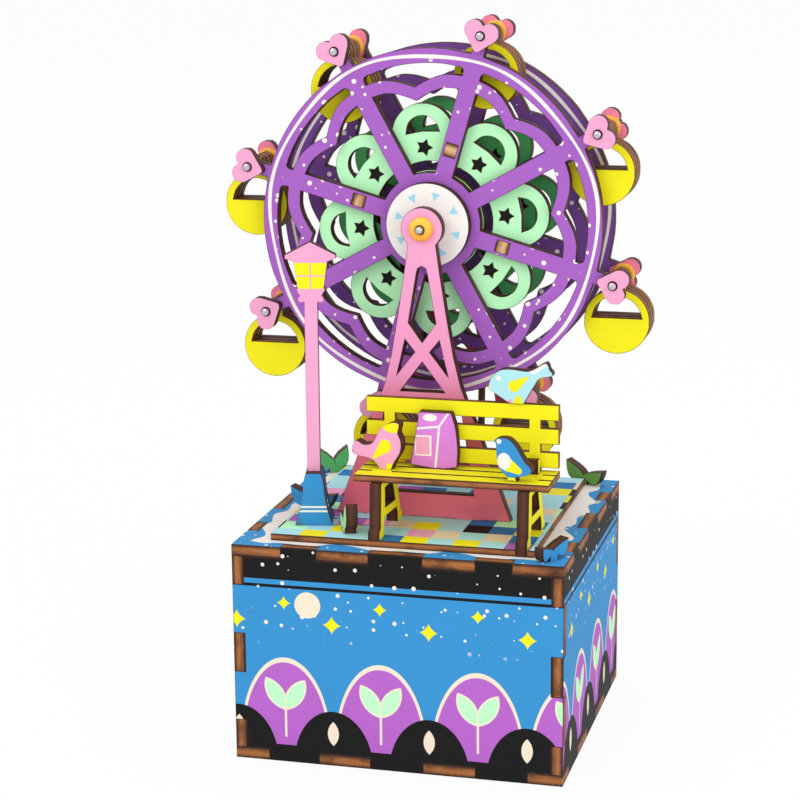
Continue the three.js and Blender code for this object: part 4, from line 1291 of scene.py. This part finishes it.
@dataclass(frozen=True)
class WheelPrint:
    """Purple wheel disc with a cream line near the rim and scattered white lights."""

    height: float
    spokes: int
    phase: float
    ink: Ink = Ink.PURPLE
    line_radius: float = 42.9
    line_half: float = 0.42
    spoke_half: float = 2.0
    spokes_from: float = 13.0
    rim_from: float = 30.0
    rim_to: float = 41.6

    def __call__(self, graph: Graph) -> bpy.types.NodeSocket:
        """Paints the disc.

        Args:
            graph: The print's nodes.

        Returns:
            The colour.
        """
        x, _, z = graph.axes()
        up = z - self.height
        radius = graph.reach(x, up)
        angle = graph.math("ARCTAN2", up, x)
        paint: Paint = self.ink
        wave = (angle * 7.0).sine() * 0.42 + (angle * 3.0 + 1.0).sine() * 0.3
        line = self.line_half + (angle * 9.0).sine() * 0.07
        line = line - abs(radius - self.line_radius - wave)
        paint = graph.mix(line.inside(), paint, Ink.CREAM)
        outer = (radius - self.rim_from).inside(1.0) & (self.rim_to - radius).inside(0.6)
        lights = graph.specks(x + 7.0, up + 3.0, 4.1, 0.68) & outer
        step = FULL_TURN / self.spokes
        beside = (angle - math.radians(self.phase)).wrap(-step / 2, step / 2) * radius
        inner = graph.specks(beside + 2.0, radius + angle.floor() * 7.0, 4.8, 0.62)
        inner = inner & (self.spoke_half - abs(beside)).inside(0.5)
        inner = inner & (radius - self.spokes_from).inside(1.0)
        lights = lights | (inner & (self.rim_from - radius).inside(1.0))
        return graph.mix(lights, paint, Ink.CREAM)


@dataclass(frozen=True)
class HubPrint:
    """Off-white hub plate with a ring of pale blue wedges that point inwards."""

    height: float
    spokes: int
    ring: float = 7.5
    turn: float = 0.28
    wedge: Spot = (2.2, 0.52)

    def __call__(self, graph: Graph) -> bpy.types.NodeSocket:
        """Paints the plate.

        Args:
            graph: The print's nodes.

        Returns:
            The colour.
        """
        x, _, z = graph.axes()
        up = z - self.height
        radius = graph.reach(x, up)
        step = FULL_TURN / self.spokes
        angle = (graph.math("ARCTAN2", up, x) + self.turn).wrap(-step / 2, step / 2)
        length, slope = self.wedge
        out = radius - (self.ring - length / 2)
        wedge = (out * slope - abs(angle * radius)) & (length - out)
        cloud = graph.cloud(0.25, 2.0).ramp(0.3, 0.75)
        plain = graph.mix(cloud * 0.4, Ink.WHITE, Ink.CREAM)
        return graph.mix(wedge.inside(0.1), plain, Ink.PALE_BLUE)


@dataclass(frozen=True)
class FramePrint:
    """Pink frame that deepens to rose towards its foot."""

    stops: tuple[tuple[float, Ink], ...]

    def __call__(self, graph: Graph) -> bpy.types.NodeSocket:
        """Paints the frame.

        Args:
            graph: The print's nodes.

        Returns:
            The colour.
        """
        height = graph.axes()[2]
        low, high = self.stops[0][0], self.stops[-1][0]
        stops = [((place - low) / (high - low), ink) for place, ink in self.stops]
        ramp = graph.node("ShaderNodeValToRGB", {"stops": stops}, {0: height.ramp(low, high)})
        return ramp.outputs[0]


@dataclass(frozen=True)
class LampPrint:
    """Pink lamp with a yellow glass behind pink bars."""

    centre: Spot
    turn: float
    glass: Spot = (119.6, 126.2)
    half_low: float = 3.2
    half_high: float = 4.1
    bar_half: float = 0.17

    def __call__(self, graph: Graph) -> bpy.types.NodeSocket:
        """Paints the lamp.

        Args:
            graph: The print's nodes.

        Returns:
            The colour.
        """
        z = graph.axes()[2]
        across = graph.along(self.centre, self.turn)
        low, high = self.glass
        share = (z - low) / (high - low)
        half = share * (self.half_high - self.half_low) + self.half_low
        glass = (half - abs(across)) & (z - low) & (high - z)
        clear = (abs(across) & abs(z - (low + high) / 2)) - self.bar_half
        return graph.mix((glass & clear).inside(), Ink.PINK, Ink.YELLOW)


@dataclass(frozen=True)
class FootPrint:
    """Blue lamp foot with two cream stripes."""

    stripes: tuple[float, ...] = (62.6, 63.7)
    half: float = 0.26

    def __call__(self, graph: Graph) -> bpy.types.NodeSocket:
        """Paints the foot.

        Args:
            graph: The print's nodes.

        Returns:
            The colour.
        """
        height = graph.axes()[2]
        paint: Paint = Ink.BLUE
        for stripe in self.stripes:
            paint = graph.mix((self.half - abs(height - stripe)).inside(), paint, Ink.CREAM)
        return paint


@dataclass(frozen=True)
class LocalPrint:
    """A print laid out in a piece's own frame: across and up from its foot's middle."""

    centre: tuple[float, float, float]
    turn: float
    ground: Ink
    marks: tuple[tuple, ...]

    def __call__(self, graph: Graph) -> bpy.types.NodeSocket:
        """Paints the ground and lays each mark over it.

        Args:
            graph: The print's nodes.

        Returns:
            The colour.
        """
        u = graph.along(self.centre[:2], self.turn)
        v = graph.axes()[2] - self.centre[2]
        paint: Paint = self.ground
        for kind, ink, *sizes in self.marks:
            mask = getattr(graph, kind)(u, v, *sizes)
            paint = graph.mix(mask, paint, ink)
        return paint


# Sub-assemblies


@dataclass
class Box:
    """The six finger-jointed walls and the paving on top."""

    shop: Workshop
    half_width: float = 42.5
    half_depth: float = 41.0

    def walls(self) -> dict[str, tuple[GardenPrint, Vector]]:
        """Gives each wall's print and where it faces.

        Returns:
            The print and the direction of each panel, by the panel's name.
        """
        return {
            "front_panel": (GardenPrint(Side.FRONT, -4.0, (-22.8, 42.3)), TO_FRONT),
            "right_panel": (GardenPrint(Side.RIGHT, 7.0), Vector((1, 0, 0))),
            "rear_panel": (GardenPrint(Side.REAR, 2.0), Vector((0, 1, 0))),
            "left_panel": (GardenPrint(Side.LEFT, -6.0), Vector((-1, 0, 0))),
        }

    def build(self) -> None:
        """Cuts the walls, the bottom, the top and the paving."""
        for node, (pattern, facing) in self.walls().items():
            face = PrintedFace(node + "_print", pattern=pattern, grain=GrainRun.UPRIGHT,
                               grain_share=0.07)
            self.shop.sheet(node, face, "printed_night_ply", facing, BareFace(), WARM_WALL)
        down = Vector((0, 0, -1))
        self.shop.sheet("bottom_panel", BareFace(), "bare_ply", down, wall=WARM_WALL)
        top = PrintedFace("top_print", pattern=TopPrint(self.half_width, self.half_depth),
                          grain=GrainRun.ACROSS_FLAT)
        self.shop.sheet("top_panel", top, "printed_top_ply", -down, BareFace(), WARM_WALL)
        tiles = PrintedFace("tile_print", pattern=TilePrint(), grain=GrainRun.ACROSS_FLAT)
        self.shop.sheet("paving", tiles, "tiled_ply", -down, BareFace(), WARM_WALL)


@dataclass
class Stand:
    """The two frames that carry the axle, and the bush in the front one."""

    shop: Workshop
    axle: Vector
    foot: float
    outer: float = 16.5
    flank: Spot = (2.5, 22.0)
    base: Spot = (0.5, 2.2)
    bore: float = 1.3
    sleeve: float = 2.1
    cap: float = 1.9

    def build(self) -> None:
        """Cuts the frames and turns the bush."""
        pattern = FramePrint(((self.foot, Ink.DEEP_ROSE), (self.foot + 9.0, Ink.DEEP_ROSE),
                              (self.foot + 28.0, Ink.ROSE), (self.foot + 36.0, Ink.FRAME_PINK),
                              (134.0, Ink.PINK)))
        front = PrintedFace("front_frame_print", pattern=pattern, grain=GrainRun.UPRIGHT)
        # The rear frame's deep rose is painted shade on the frame's pink
        rear = PrintedFace("rear_frame_shaded_print", Ink.SHADED_ROSE, grain=GrainRun.UPRIGHT)
        self._frame("front_frame", front, "pink_ply")
        self._frame("rear_frame", rear, "rear_frame_ply")
        self._bush()

    def _bush(self) -> None:
        """Turns the orange bush, with a rounded cap on its sleeve."""
        low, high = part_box("front_bush")
        face, back = low.y / MM, high.y / MM
        flange = (high.x - low.x) / 2 / MM
        profile = ((self.bore, back), (self.sleeve, back), (self.sleeve, face + self.cap),
                   (flange, face + self.cap), (flange, face + 1.2), (flange - 0.12, face + 0.75),
                   (flange - 0.45, face + 0.25), (flange - 0.95, face), (self.bore, face),
                   (self.bore, back))
        height = self.axle.z / MM
        # The bush is lighter on top and darker below, as painted shade
        finish = Plastic("orange_bush", Ink.AMBER, Ink.ORANGE, height - 2.6, height + 1.4)
        mesh = self.shop.turned_mesh(profile, self.axle, 40)
        self.shop.stand_in("front_bush", "bush_cap", mesh, (finish,), "orange_bush")

    def _frame(self, node: str, face: PrintedFace, slot: str) -> None:
        """Cuts a frame with straight flanks, and draws its base down to the paving.

        Args:
            node: The frame's solid.
            face: Its printed finish.
            slot: The record's finish slot.
        """
        outline = Outline.of_solid(self.shop.nodes[node], TO_FRONT)
        for loop in outline.loops:
            loop[:] = [point for point in loop if not (
                abs(point.x) > self.outer * MM
                and self.flank[0] < point.z / MM - self.foot < self.flank[1])]
            for point in loop:
                if self.base[0] < point.z / MM - self.foot < self.base[1]:
                    point.z = self.foot * MM
        mesh = self.shop.sheet_mesh(outline)
        self.shop.stand_in(node, node + "_sheet", mesh, (face, face, SHADED_WALL), slot)


@dataclass
class Wheel:
    """Discs, petals, hub plate, spacers, axle and pulley."""

    shop: Workshop
    axle: Vector
    spokes: int = 8
    phase: float = FIRST_SPOKE
    spacers: int = 4
    scorch: float = 0.4
    star_line: float = 17.0
    star_reach: float = 12.0
    star_depth: float = 0.35
    star_ply: float = 0.8
    collars: tuple[Spot, ...] = ((-8.7, -6.05), (3.05, 14.95), (24.6, 25.0))
    bore: float = 1.05
    groove: float = 2.05

    def build(self) -> None:
        """Cuts and turns the wheel's pieces."""
        height = self.axle.z / MM
        # The rear disc's darker purple is painted shade, for the shade of the front disc
        for node, name, ink in (("front_wheel_disc", "wheel_print", Ink.PURPLE),
                                ("rear_wheel_disc", "rear_wheel_print", Ink.SHADED_PURPLE)):
            pattern = WheelPrint(height, self.spokes, self.phase, ink)
            face = PrintedFace(name, pattern=pattern, scorch_share=self.scorch)
            self.shop.sheet(node, face, "purple_ply")
        # The rear petals' darker green is painted shade, for the shade between the two discs
        for node, ink in (("front_petals", Ink.MINT), ("rear_petals", Ink.FERN_AND_SHADED_MINT)):
            face = PrintedFace(node + "_print", ink, scorch_share=self.scorch)
            self.shop.sheet(node, face, "mint_ply")
            self._stars(node)
        hub = PrintedFace("hub_print", pattern=HubPrint(height, self.spokes), scorch_share=0.5)
        self.shop.sheet("hub_plate", hub, "white_ply")
        for k in range(1, self.spacers + 1):
            node = f"wheel_spacer_{k}"
            low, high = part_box(node)
            place = (low + high) / 2 - self.axle
            facing = Vector((place.x, 0, place.z)).normalized()
            self.shop.sheet(node, BareFace(), "bare_ply", facing, wall=COPPER_WALL)
        self._axle()
        self._pulley()

    def _stars(self, node: str) -> None:
        """Sets black stars into a petal plate's star cuts, just below its face.

        Args:
            node: The petal plate's solid.
        """
        outline = Outline.of_solid(self.shop.nodes[node], TO_FRONT)
        stars = outline.picked(lambda loop, length: length < self.star_line and (
            loop[0] - self.axle).xz.length > self.star_reach * MM)
        sunk = stars.moved(Vector((0, self.star_depth * MM, 0)))
        black = PrintedFace("star_black", Ink.BLACK)
        self.shop.piece(node + "_stars", self.shop.sheet_mesh(sunk, self.star_ply * MM),
                        (black, black, SHADED_WALL), "mint_ply", self.shop.bodies[node])

    def _axle(self) -> None:
        """Turns the steel axle with a domed end, its sleeve and collars."""
        low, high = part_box("axle")
        front, rear = low.y / MM, high.y / MM
        profile = [(0.0, front), (0.55, front + 0.08), (0.88, front + 0.35), (1.0, front + 0.75)]
        for start, end in self.collars:
            profile += [(1.0, start), (2.6, start), (2.6, end), (1.0, end)]
        profile += [(1.0, rear - 1.6), (2.2, rear - 1.6), (2.2, rear - 0.7), (1.7, rear - 0.2),
                    (0.9, rear), (0.0, rear)]
        mesh = self.shop.turned_mesh(profile, self.axle, 36)
        self.shop.stand_in("axle", "axle_rod", mesh, (Metal("axle_steel"),), "steel")

    def _pulley(self) -> None:
        """Turns the grooved pulley."""
        low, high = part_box("wheel_pulley")
        front, rear = low.y / MM, high.y / MM
        lip = (high.x - low.x) / 2 / MM
        groove = lip - self.groove
        middle = (front + rear) / 2
        profile = ((self.bore, front), (lip, front), (lip, front + 0.5),
                   (groove + 0.6, middle - 0.75), (groove, middle), (groove + 0.6, middle + 0.75),
                   (lip, rear - 0.5), (lip, rear), (self.bore, rear), (self.bore, front))
        mesh = self.shop.turned_mesh(profile, self.axle, 64)
        self.shop.stand_in("wheel_pulley", "pulley_wheel", mesh, (BareFace(),), "bare_ply")


@dataclass
class HeartPins:
    """Eight pins, each with two hearts, an orange washer, a steel rod and a dark ring round it,
    which is the burnt hole wall and painted shade in the gap.
    """

    shop: Workshop
    axle: Vector
    circle: float = 49.6
    phase: float = FIRST_SPOKE
    count: int = 8
    front: float = -6.05
    rear: float = 11.95
    ply: float = 3.0
    rod: float = 0.95
    rod_end: float = 18.6
    # Heights in millimetres over which the washers' painted shade runs, lighter higher up
    washer_shade_span: Spot = (-200.0, 300.0)

    def build(self) -> None:
        """Cuts, turns and mounts each pin."""
        for k in range(self.count):
            angle = math.radians(self.phase + 360 / self.count * k)
            place = self.axle + Vector((math.cos(angle), 0, math.sin(angle))) * self.circle * MM
            self._pin(k + 1, place)

    def _pin(self, number: int, place: Vector) -> None:
        """Makes one pin's pieces.

        Args:
            number: Its number, from 1.
            place: Its axis, in metres.
        """
        node = f"heart_pin_{number}"
        body = self.shop.bodies[node]
        solid = self.shop.nodes[node]
        outline = Outline.of_solid(solid, TO_FRONT, -self.front * MM).largest()
        outline.normal = TO_FRONT
        front = PrintedFace("heart_print", Ink.PINK, scorch_share=0.5)
        rear = PrintedFace("rear_heart_print", Ink.ROSE, scorch_share=0.5)
        behind = outline.moved(Vector((0, (self.rear - self.front) * MM, 0)))
        for name, cut, face in (("heart_front", outline, front), ("heart_rear", behind, rear)):
            mesh = self.shop.sheet_mesh(cut, self.ply * MM)
            stands = (node,) if name == "heart_front" else ()
            self.shop.piece(f"{name}_{number}", mesh, (face, face, SHADED_WALL), "pink_ply", body,
                            stands)
        washer = ring(self.rod, 2.9, self.rear - 1.5, self.rear)
        orange = Plastic("orange_washer", Ink.AMBER, Ink.ORANGE, *self.washer_shade_span)
        start, end = self.front - 1.2, self.rod_end
        rod = ((0.0, start), (0.5, start + 0.04), (0.82, start + 0.2), (self.rod, start + 0.5),
               (self.rod, end - 0.3), (0.7, end), (0.0, end))
        steel = Metal("pin_steel", shine=0.2)
        # A dark ring round the rod: the burnt hole wall, and painted shade for the gap round the
        # rod
        shaded_kerf = ring(0.9, 1.28, self.front - 0.05, self.front + 0.1)
        black = PrintedFace("kerf_char_and_shade", Ink.CHAR)
        for name, profile, steps, eased, finish, slot in (
            ("washer", washer, 28, 0.12, orange, "orange_bush"),
            ("pin", rod, 24, 0.0, steel, "steel"),
            ("pin_kerf_shade", shaded_kerf, 24, 0.0, black, "pink_ply"),
        ):
            mesh = self.shop.turned_mesh(profile, place, steps, eased)
            self.shop.piece(f"{name}_{number}", mesh, (finish,), slot, body)


@dataclass
class Gondolas:
    """Eight round cars, each of three glued sheets."""

    shop: Workshop
    count: int = 8
    plies: int = 3
    glue: float = 0.01

    def build(self) -> None:
        """Cuts each car's sheets and glues them."""
        face = PrintedFace("gondola_print", Ink.YELLOW, scorch_share=0.5)
        for k in range(1, self.count + 1):
            node = f"gondola_{k}"
            outline = Outline.of_solid(self.shop.nodes[node], TO_FRONT)
            sheet = outline.thickness / self.plies
            whole = bmesh.new()
            for layer in range(self.plies):
                behind = outline.moved(Vector((0, layer * sheet, 0)))
                cut = self.shop.sheet_mesh(behind, sheet - self.glue * MM)
                data = bpy.data.meshes.new("layer")
                cut.to_mesh(data)
                cut.free()
                whole.from_mesh(data)
                bpy.data.meshes.remove(data)
            finishes = (face, face, WARM_WALL)
            self.shop.stand_in(node, f"{node}_car", whole, finishes, "yellow_ply")


@dataclass
class Drive:
    """Belt, crank arm, knob and the movement inside the box."""

    shop: Workshop
    axle: Vector
    crank: Vector
    belt_y: float = 22.8
    belt_radius: float = 0.95
    belt_rounding: int = 5
    wheel_pitch: float = 8.4
    crank_pitch: float = 7.0
    wheel_steps: int = 32
    crank_steps: int = 28
    knob_length: float = 12.0

    def build(self) -> None:
        """Makes the drive's pieces."""
        self._belt()
        self.shop.sheet("crank_arm", BareFace(), "bare_ply", Vector((0, 1, 0)))
        self._knob()
        steel = Metal("plain_steel", shine=0.34)
        for node in ("crank_shaft", "movement_bracket", "music_comb"):
            self.shop.dress(node, steel)
        self.shop.dress("music_cylinder", Metal("brass", Ink.BRASS, 0.3))

    def _belt(self) -> None:
        """Sweeps a round section along both pulleys."""
        rise = (self.axle.z - self.crank.z) / MM
        lean = math.asin((self.wheel_pitch - self.crank_pitch) / rise)
        arcs = (
            (self.axle, self.wheel_pitch, -lean, math.pi + 2 * lean, self.wheel_steps),
            (self.crank, self.crank_pitch, math.pi + lean, math.pi - 2 * lean, self.crank_steps),
        )
        route = [(centre, radius, start + sweep * i / steps)
                 for centre, radius, start, sweep, steps in arcs for i in range(steps + 1)]
        curve = bpy.data.curves.new("belt_route", "CURVE")
        curve.dimensions = "3D"
        curve.bevel_depth = self.belt_radius * MM
        curve.bevel_resolution = self.belt_rounding
        spline = curve.splines.new("POLY")
        spline.points.add(len(route) - 1)
        spline.use_cyclic_u = True
        for point, (centre, radius, angle) in zip(spline.points, route):
            spot = centre + Vector((math.cos(angle), 0, math.sin(angle))) * radius * MM
            point.co = (spot.x, self.belt_y * MM, spot.z, 1.0)
        shaper = bpy.data.objects.new("belt_route", curve)
        data = bpy.data.meshes.new_from_object(shaper)
        mesh = bmesh.new()
        mesh.from_mesh(data)
        bpy.data.objects.remove(shaper)
        bpy.data.curves.remove(curve)
        bpy.data.meshes.remove(data)
        bmesh.ops.recalc_face_normals(mesh, faces=mesh.faces[:])
        for face in mesh.faces:
            face.smooth = True
        self.shop.stand_in("drive_belt", "round_belt", mesh, (Rubber(),), "belt_rubber")

    def _knob(self) -> None:
        """Turns the wooden knob on its pin."""
        low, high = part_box("crank_knob")
        centre = (low + high) / 2
        head, end = low.y / MM, high.y / MM
        body = end - self.knob_length
        profile = ((0.0, head), (1.9, head), (1.9, head + 0.7), (1.2, head + 0.7), (1.2, body),
                   (2.3, body), (2.35, body + 1.2), (2.9, body + 3.0), (3.45, body + 5.0),
                   (3.6, body + 7.2), (3.5, body + 9.2), (3.1, body + 10.8), (2.3, body + 11.7),
                   (1.2, end - 0.05), (0.0, end))
        mesh = self.shop.turned_mesh(profile, Vector((centre.x, 0, centre.z)), 40)
        self.shop.stand_in("crank_knob", "knob", mesh, (BareFace("turned_knob"),), "bare_ply")


@dataclass
class Lamp:
    """The street lamp: a pink post between two blue feet."""

    shop: Workshop
    turn: float = math.radians(13)

    def build(self) -> None:
        """Cuts the lamp's three sheets."""
        low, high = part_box("lamp_post")
        centre = (low + high) / 2 / MM
        facing = turned_front(self.turn)
        glass = LampPrint((centre.x, centre.y), self.turn)
        post = PrintedFace("lamp_print", pattern=glass, grain=GrainRun.UPRIGHT)
        foot = PrintedFace("foot_print", pattern=FootPrint(), grain=GrainRun.UPRIGHT)
        self.shop.sheet("lamp_post", post, "pink_ply", facing)
        for node in ("lamp_foot_front", "lamp_foot_rear"):
            self.shop.sheet(node, foot, "blue_ply", facing)


@dataclass
class Bench:
    """The yellow bench."""

    shop: Workshop

    def build(self) -> None:
        """Cuts seat, back and legs."""
        level = PrintedFace("bench_print", Ink.YELLOW, scorch_share=0.6)
        flat = PrintedFace("seat_print", Ink.YELLOW, grain=GrainRun.ACROSS_FLAT, scorch_share=0.6)
        leg = PrintedFace("leg_print", Ink.YELLOW, grain=GrainRun.UPRIGHT, scorch_share=0.6)
        self.shop.sheet("bench_seat", flat, "yellow_ply", Vector((0, 0, 1)), wall=WARM_WALL)
        self.shop.sheet("bench_back", level, "yellow_ply", wall=WARM_WALL)
        for node in ("bench_leg_left", "bench_leg_right"):
            self.shop.sheet(node, leg, "yellow_ply", Vector((1, 0, 0)))


@dataclass
class Company:
    """Three birds and a paper bag on the bench."""

    shop: Workshop

    def build(self) -> None:
        """Cuts each sheet and paints it in its own frame."""
        self._print("paper_bag", 0.0, "lilac_ply", Ink.ORCHID, (
            ("disc", Ink.CREAM, (-1.0, 13.1), 1.85, 0.5),
            ("stroke", Ink.CREAM, (4.0, 14.9), (1.35, 10.9), 0.27),
            ("stroke", Ink.CREAM, (1.35, 10.9), (0.3, -0.3), 0.27),
            ("stroke", Ink.CREAM, (-5.4, 10.0), (1.35, 10.9), 0.27),
            ("slab", Ink.CREAM, (-2.8, 5.8), (2.15, 2.65)),
            ("slab", Ink.PINK, (-2.9, 5.8), (1.75, 2.25)),
        ), 0.14)
        self._print("pink_bird", math.radians(-9), "pink_ply", Ink.PINK, (
            ("disc", Ink.YELLOW, (4.3, 11.0), 2.3, 0.6),
            ("stroke", Ink.YELLOW, (2.4, 6.0), (-0.8, 2.7), 1.75, 0.3),
            ("stroke", Ink.YELLOW, (3.2, -0.2), (3.6, 1.0), 0.75),
        ))
        self._print("blue_bird", math.radians(-6), "blue_ply", Ink.BLUE, (
            ("stroke", Ink.YELLOW, (-1.3, 4.3), (1.5, 2.9), 1.75, 0.9),
            ("disc", Ink.CREAM, (-2.2, 5.1), 1.75, 1.2),
            ("disc", Ink.CREAM, (-3.5, 10.0), 0.62, 1.0),
            ("slab", Ink.YELLOW, (-0.2, 0.2), (1.8, 0.85)),
        ))
        self._print("sky_bird", 0.0, "sky_ply", Ink.TILE, (
            ("stroke", Ink.CREAM, (3.2, 8.6), (6.2, 10.2), 0.9, 0.5),
            ("stroke", Ink.YELLOW, (-1.5, 4.5), (2.0, 7.0), 1.5, 0.2),
            ("disc", Ink.YELLOW, (-8.9, 4.0), 1.2, 1.0),
            ("disc", Ink.CREAM, (-5.5, 6.3), 0.62, 1.0),
            ("stroke", Ink.YELLOW, (-0.6, -0.4), (-0.5, 1.3), 1.6, 0.8),
            ("stroke", Ink.PINK, (-2.7, -0.3), (-2.6, 0.5), 0.6),
        ))

    def _print(self, node: str, turn: float, slot: str, ground: Ink,
               marks: tuple[tuple, ...], grain_share: float = 0.08) -> None:
        """Cuts one sheet with a print that follows its turn.

        Args:
            node: The sheet's solid.
            turn: Its turn from the front, in radians.
            slot: The record's finish slot.
            ground: The colour under the marks.
            marks: Each mark's shape, ink and sizes.
            grain_share: How strongly the grain shows.
        """
        low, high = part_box(node)
        centre = (low + high) / 2 / MM
        pattern = LocalPrint((centre.x, centre.y, low.z / MM), turn, ground, marks)
        face = PrintedFace(node + "_print", pattern=pattern, grain=GrainRun.UPRIGHT,
                           grain_share=grain_share)
        self.shop.sheet(node, face, slot, turned_front(turn))


@dataclass
class Sprouts:
    """Five leaf sprouts round the bench."""

    shop: Workshop

    def build(self) -> None:
        """Cuts each sprout in its colours."""
        leaf, pale, young, blue = (
            PrintedFace(name, ink, grain=GrainRun.UPRIGHT) for name, ink in (
                ("leaf_print", Ink.LEAF), ("pale_leaf_print", Ink.PALE_LEAF),
                ("young_leaf_print", Ink.FERN_AND_SHADED_MINT), ("blue_leaf_print", Ink.BLUE)))
        for node, face, slot, turn in (
            ("sprout_back_right", leaf, "green_ply", -21),
            ("sprout_back_left", young, "green_ply", 22),
            ("sprout_front_left", blue, "blue_ply", -9),
            ("sprout_front_right", blue, "blue_ply", 56),
            ("sprout_middle", pale, "pale_green_ply", -64),
        ):
            self.shop.sheet(node, face, slot, turned_front(math.radians(turn)))


@dataclass
class Studio:
    """Camera, floor, world and lamps."""

    eye: tuple[float, float, float] = (0.13746, -0.55570, 0.22023)
    yaw: float = math.radians(-14.7752)
    pitch: float = math.radians(13.0937)
    roll: float = math.radians(-0.4976)
    lens: float = 101.4
    sensor: float = 36.0
    near: float = 0.01
    centre: tuple[float, float, float] = (0.0, 0.0, 0.09)
    ambient: float = 0.80
    floor_half: float = 12.0
    floor_drop: float = 0.00002
    floor_glow: float = 0.93
    floor_grey: float = 0.86

    def build(self) -> None:
        """Sets up the whole studio."""
        self._camera()
        self._floor()
        self._world()
        self._lamp("key", (-0.55, -1.05, 0.95), 0.8, 5.9)
        self._lamp("fill", (0.95, -0.8, 0.45), 0.8, 4.3)
        self._lamp("top", (0.1, 0.25, 1.3), 0.9, 3.6)
        bpy.context.scene.view_settings.view_transform = "Standard"

    def _camera(self) -> None:
        """Places the camera by its heading, tilt and roll."""
        ahead = Vector((math.sin(self.yaw) * math.cos(self.pitch),
                        math.cos(self.yaw) * math.cos(self.pitch), -math.sin(self.pitch)))
        right = Vector((math.cos(self.yaw), -math.sin(self.yaw), 0.0))
        above = right.cross(ahead)
        side = right * math.cos(self.roll) + above * math.sin(self.roll)
        top = above * math.cos(self.roll) - right * math.sin(self.roll)
        data = bpy.data.cameras.new("camera")
        data.lens = self.lens
        data.sensor_width = self.sensor
        data.clip_start = self.near
        camera = bpy.data.objects.new("camera", data)
        bpy.context.scene.collection.objects.link(camera)
        turn = Matrix((side, top, -ahead)).transposed()
        camera.matrix_world = Matrix.Translation(Vector(self.eye)) @ turn.to_4x4()
        bpy.context.scene.camera = camera

    def _floor(self) -> None:
        """Lays a wide pale floor that keeps the shadow."""
        mesh = bmesh.new()
        bmesh.ops.create_grid(mesh, x_segments=1, y_segments=1, size=self.floor_half)
        bmesh.ops.translate(mesh, verts=mesh.verts[:], vec=(0, 0, -self.floor_drop))
        data = bpy.data.meshes.new("floor")
        mesh.to_mesh(data)
        mesh.free()
        floor = bpy.data.objects.new("floor", data)
        bpy.context.scene.collection.objects.link(floor)
        graph = Graph.of_material("pale_floor")
        grey = (self.floor_grey,) * 3 + (1.0,)
        matt = graph.node("ShaderNodeBsdfDiffuse", {}, {"Color": grey})
        glow = graph.node("ShaderNodeEmission", {}, {"Color": Ink.PAPER, "Strength": 1.0})
        shaders = {0: graph.seen() * self.floor_glow, 1: matt.outputs[0], 2: glow.outputs[0]}
        mixed = graph.node("ShaderNodeMixShader", {}, shaders)
        graph.node("ShaderNodeOutputMaterial", {}, {0: mixed.outputs[0]})
        data.materials.append(graph.owner)

    def _world(self) -> None:
        """Lights softly from all round, and shows white to the camera and in reflections."""
        world = bpy.data.worlds.new("studio")
        bpy.context.scene.world = world
        graph = Graph(world)
        soft, white = (
            graph.node("ShaderNodeBackground", {}, {"Color": Ink.PAPER, "Strength": strength})
            for strength in (self.ambient, 1.0))
        shaders = {0: graph.seen(), 1: soft.outputs[0], 2: white.outputs[0]}
        mixed = graph.node("ShaderNodeMixShader", {}, shaders)
        graph.node("ShaderNodeOutputWorld", {}, {0: mixed.outputs[0]})

    def _lamp(self, name: str, offset: tuple[float, float, float], size: float,
              power: float) -> None:
        """Hangs a soft lamp that looks at the object.

        Args:
            name: Its name.
            offset: Its place from the object's middle, in metres.
            size: Its width, in metres.
            power: Its power, in watts.
        """
        data = bpy.data.lights.new(name, "AREA")
        data.size = size
        data.energy = power
        lamp = bpy.data.objects.new(name, data)
        bpy.context.scene.collection.objects.link(lamp)
        lamp.location = Vector(self.centre) + Vector(offset)
        lamp.rotation_euler = (-Vector(offset)).to_track_quat("-Z", "Y").to_euler()


def main() -> None:
    """Builds the studio and every sub-assembly."""
    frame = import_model()
    carried = frame["record"]["behaviour"]["bodies"]
    bodies = {node: body for body, nodes in carried.items() for node in nodes}
    low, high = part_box("hub_plate")
    axle = Vector(((low.x + high.x) / 2, 0.0, (low.z + high.z) / 2))
    arm_low, arm_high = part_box("crank_arm")
    crank = Vector((0.0, 0.0, arm_high.z - (arm_high.x - arm_low.x) / 2))
    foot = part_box("paving")[1].z / MM
    shop = Workshop(Palette(), frame["nodes"], bodies)
    Studio().build()
    for assembly in (Box(shop), Stand(shop, axle, foot), Wheel(shop, axle),
                     HeartPins(shop, axle), Gondolas(shop), Drive(shop, axle, crank),
                     Lamp(shop), Bench(shop), Company(shop), Sprouts(shop)):
        assembly.build()
        LOG.info("%s done", type(assembly).__name__)
    LOG.info("%d pieces made", shop.made)


if __name__ == "__main__":
    logging.basicConfig(level=logging.INFO)
    main()
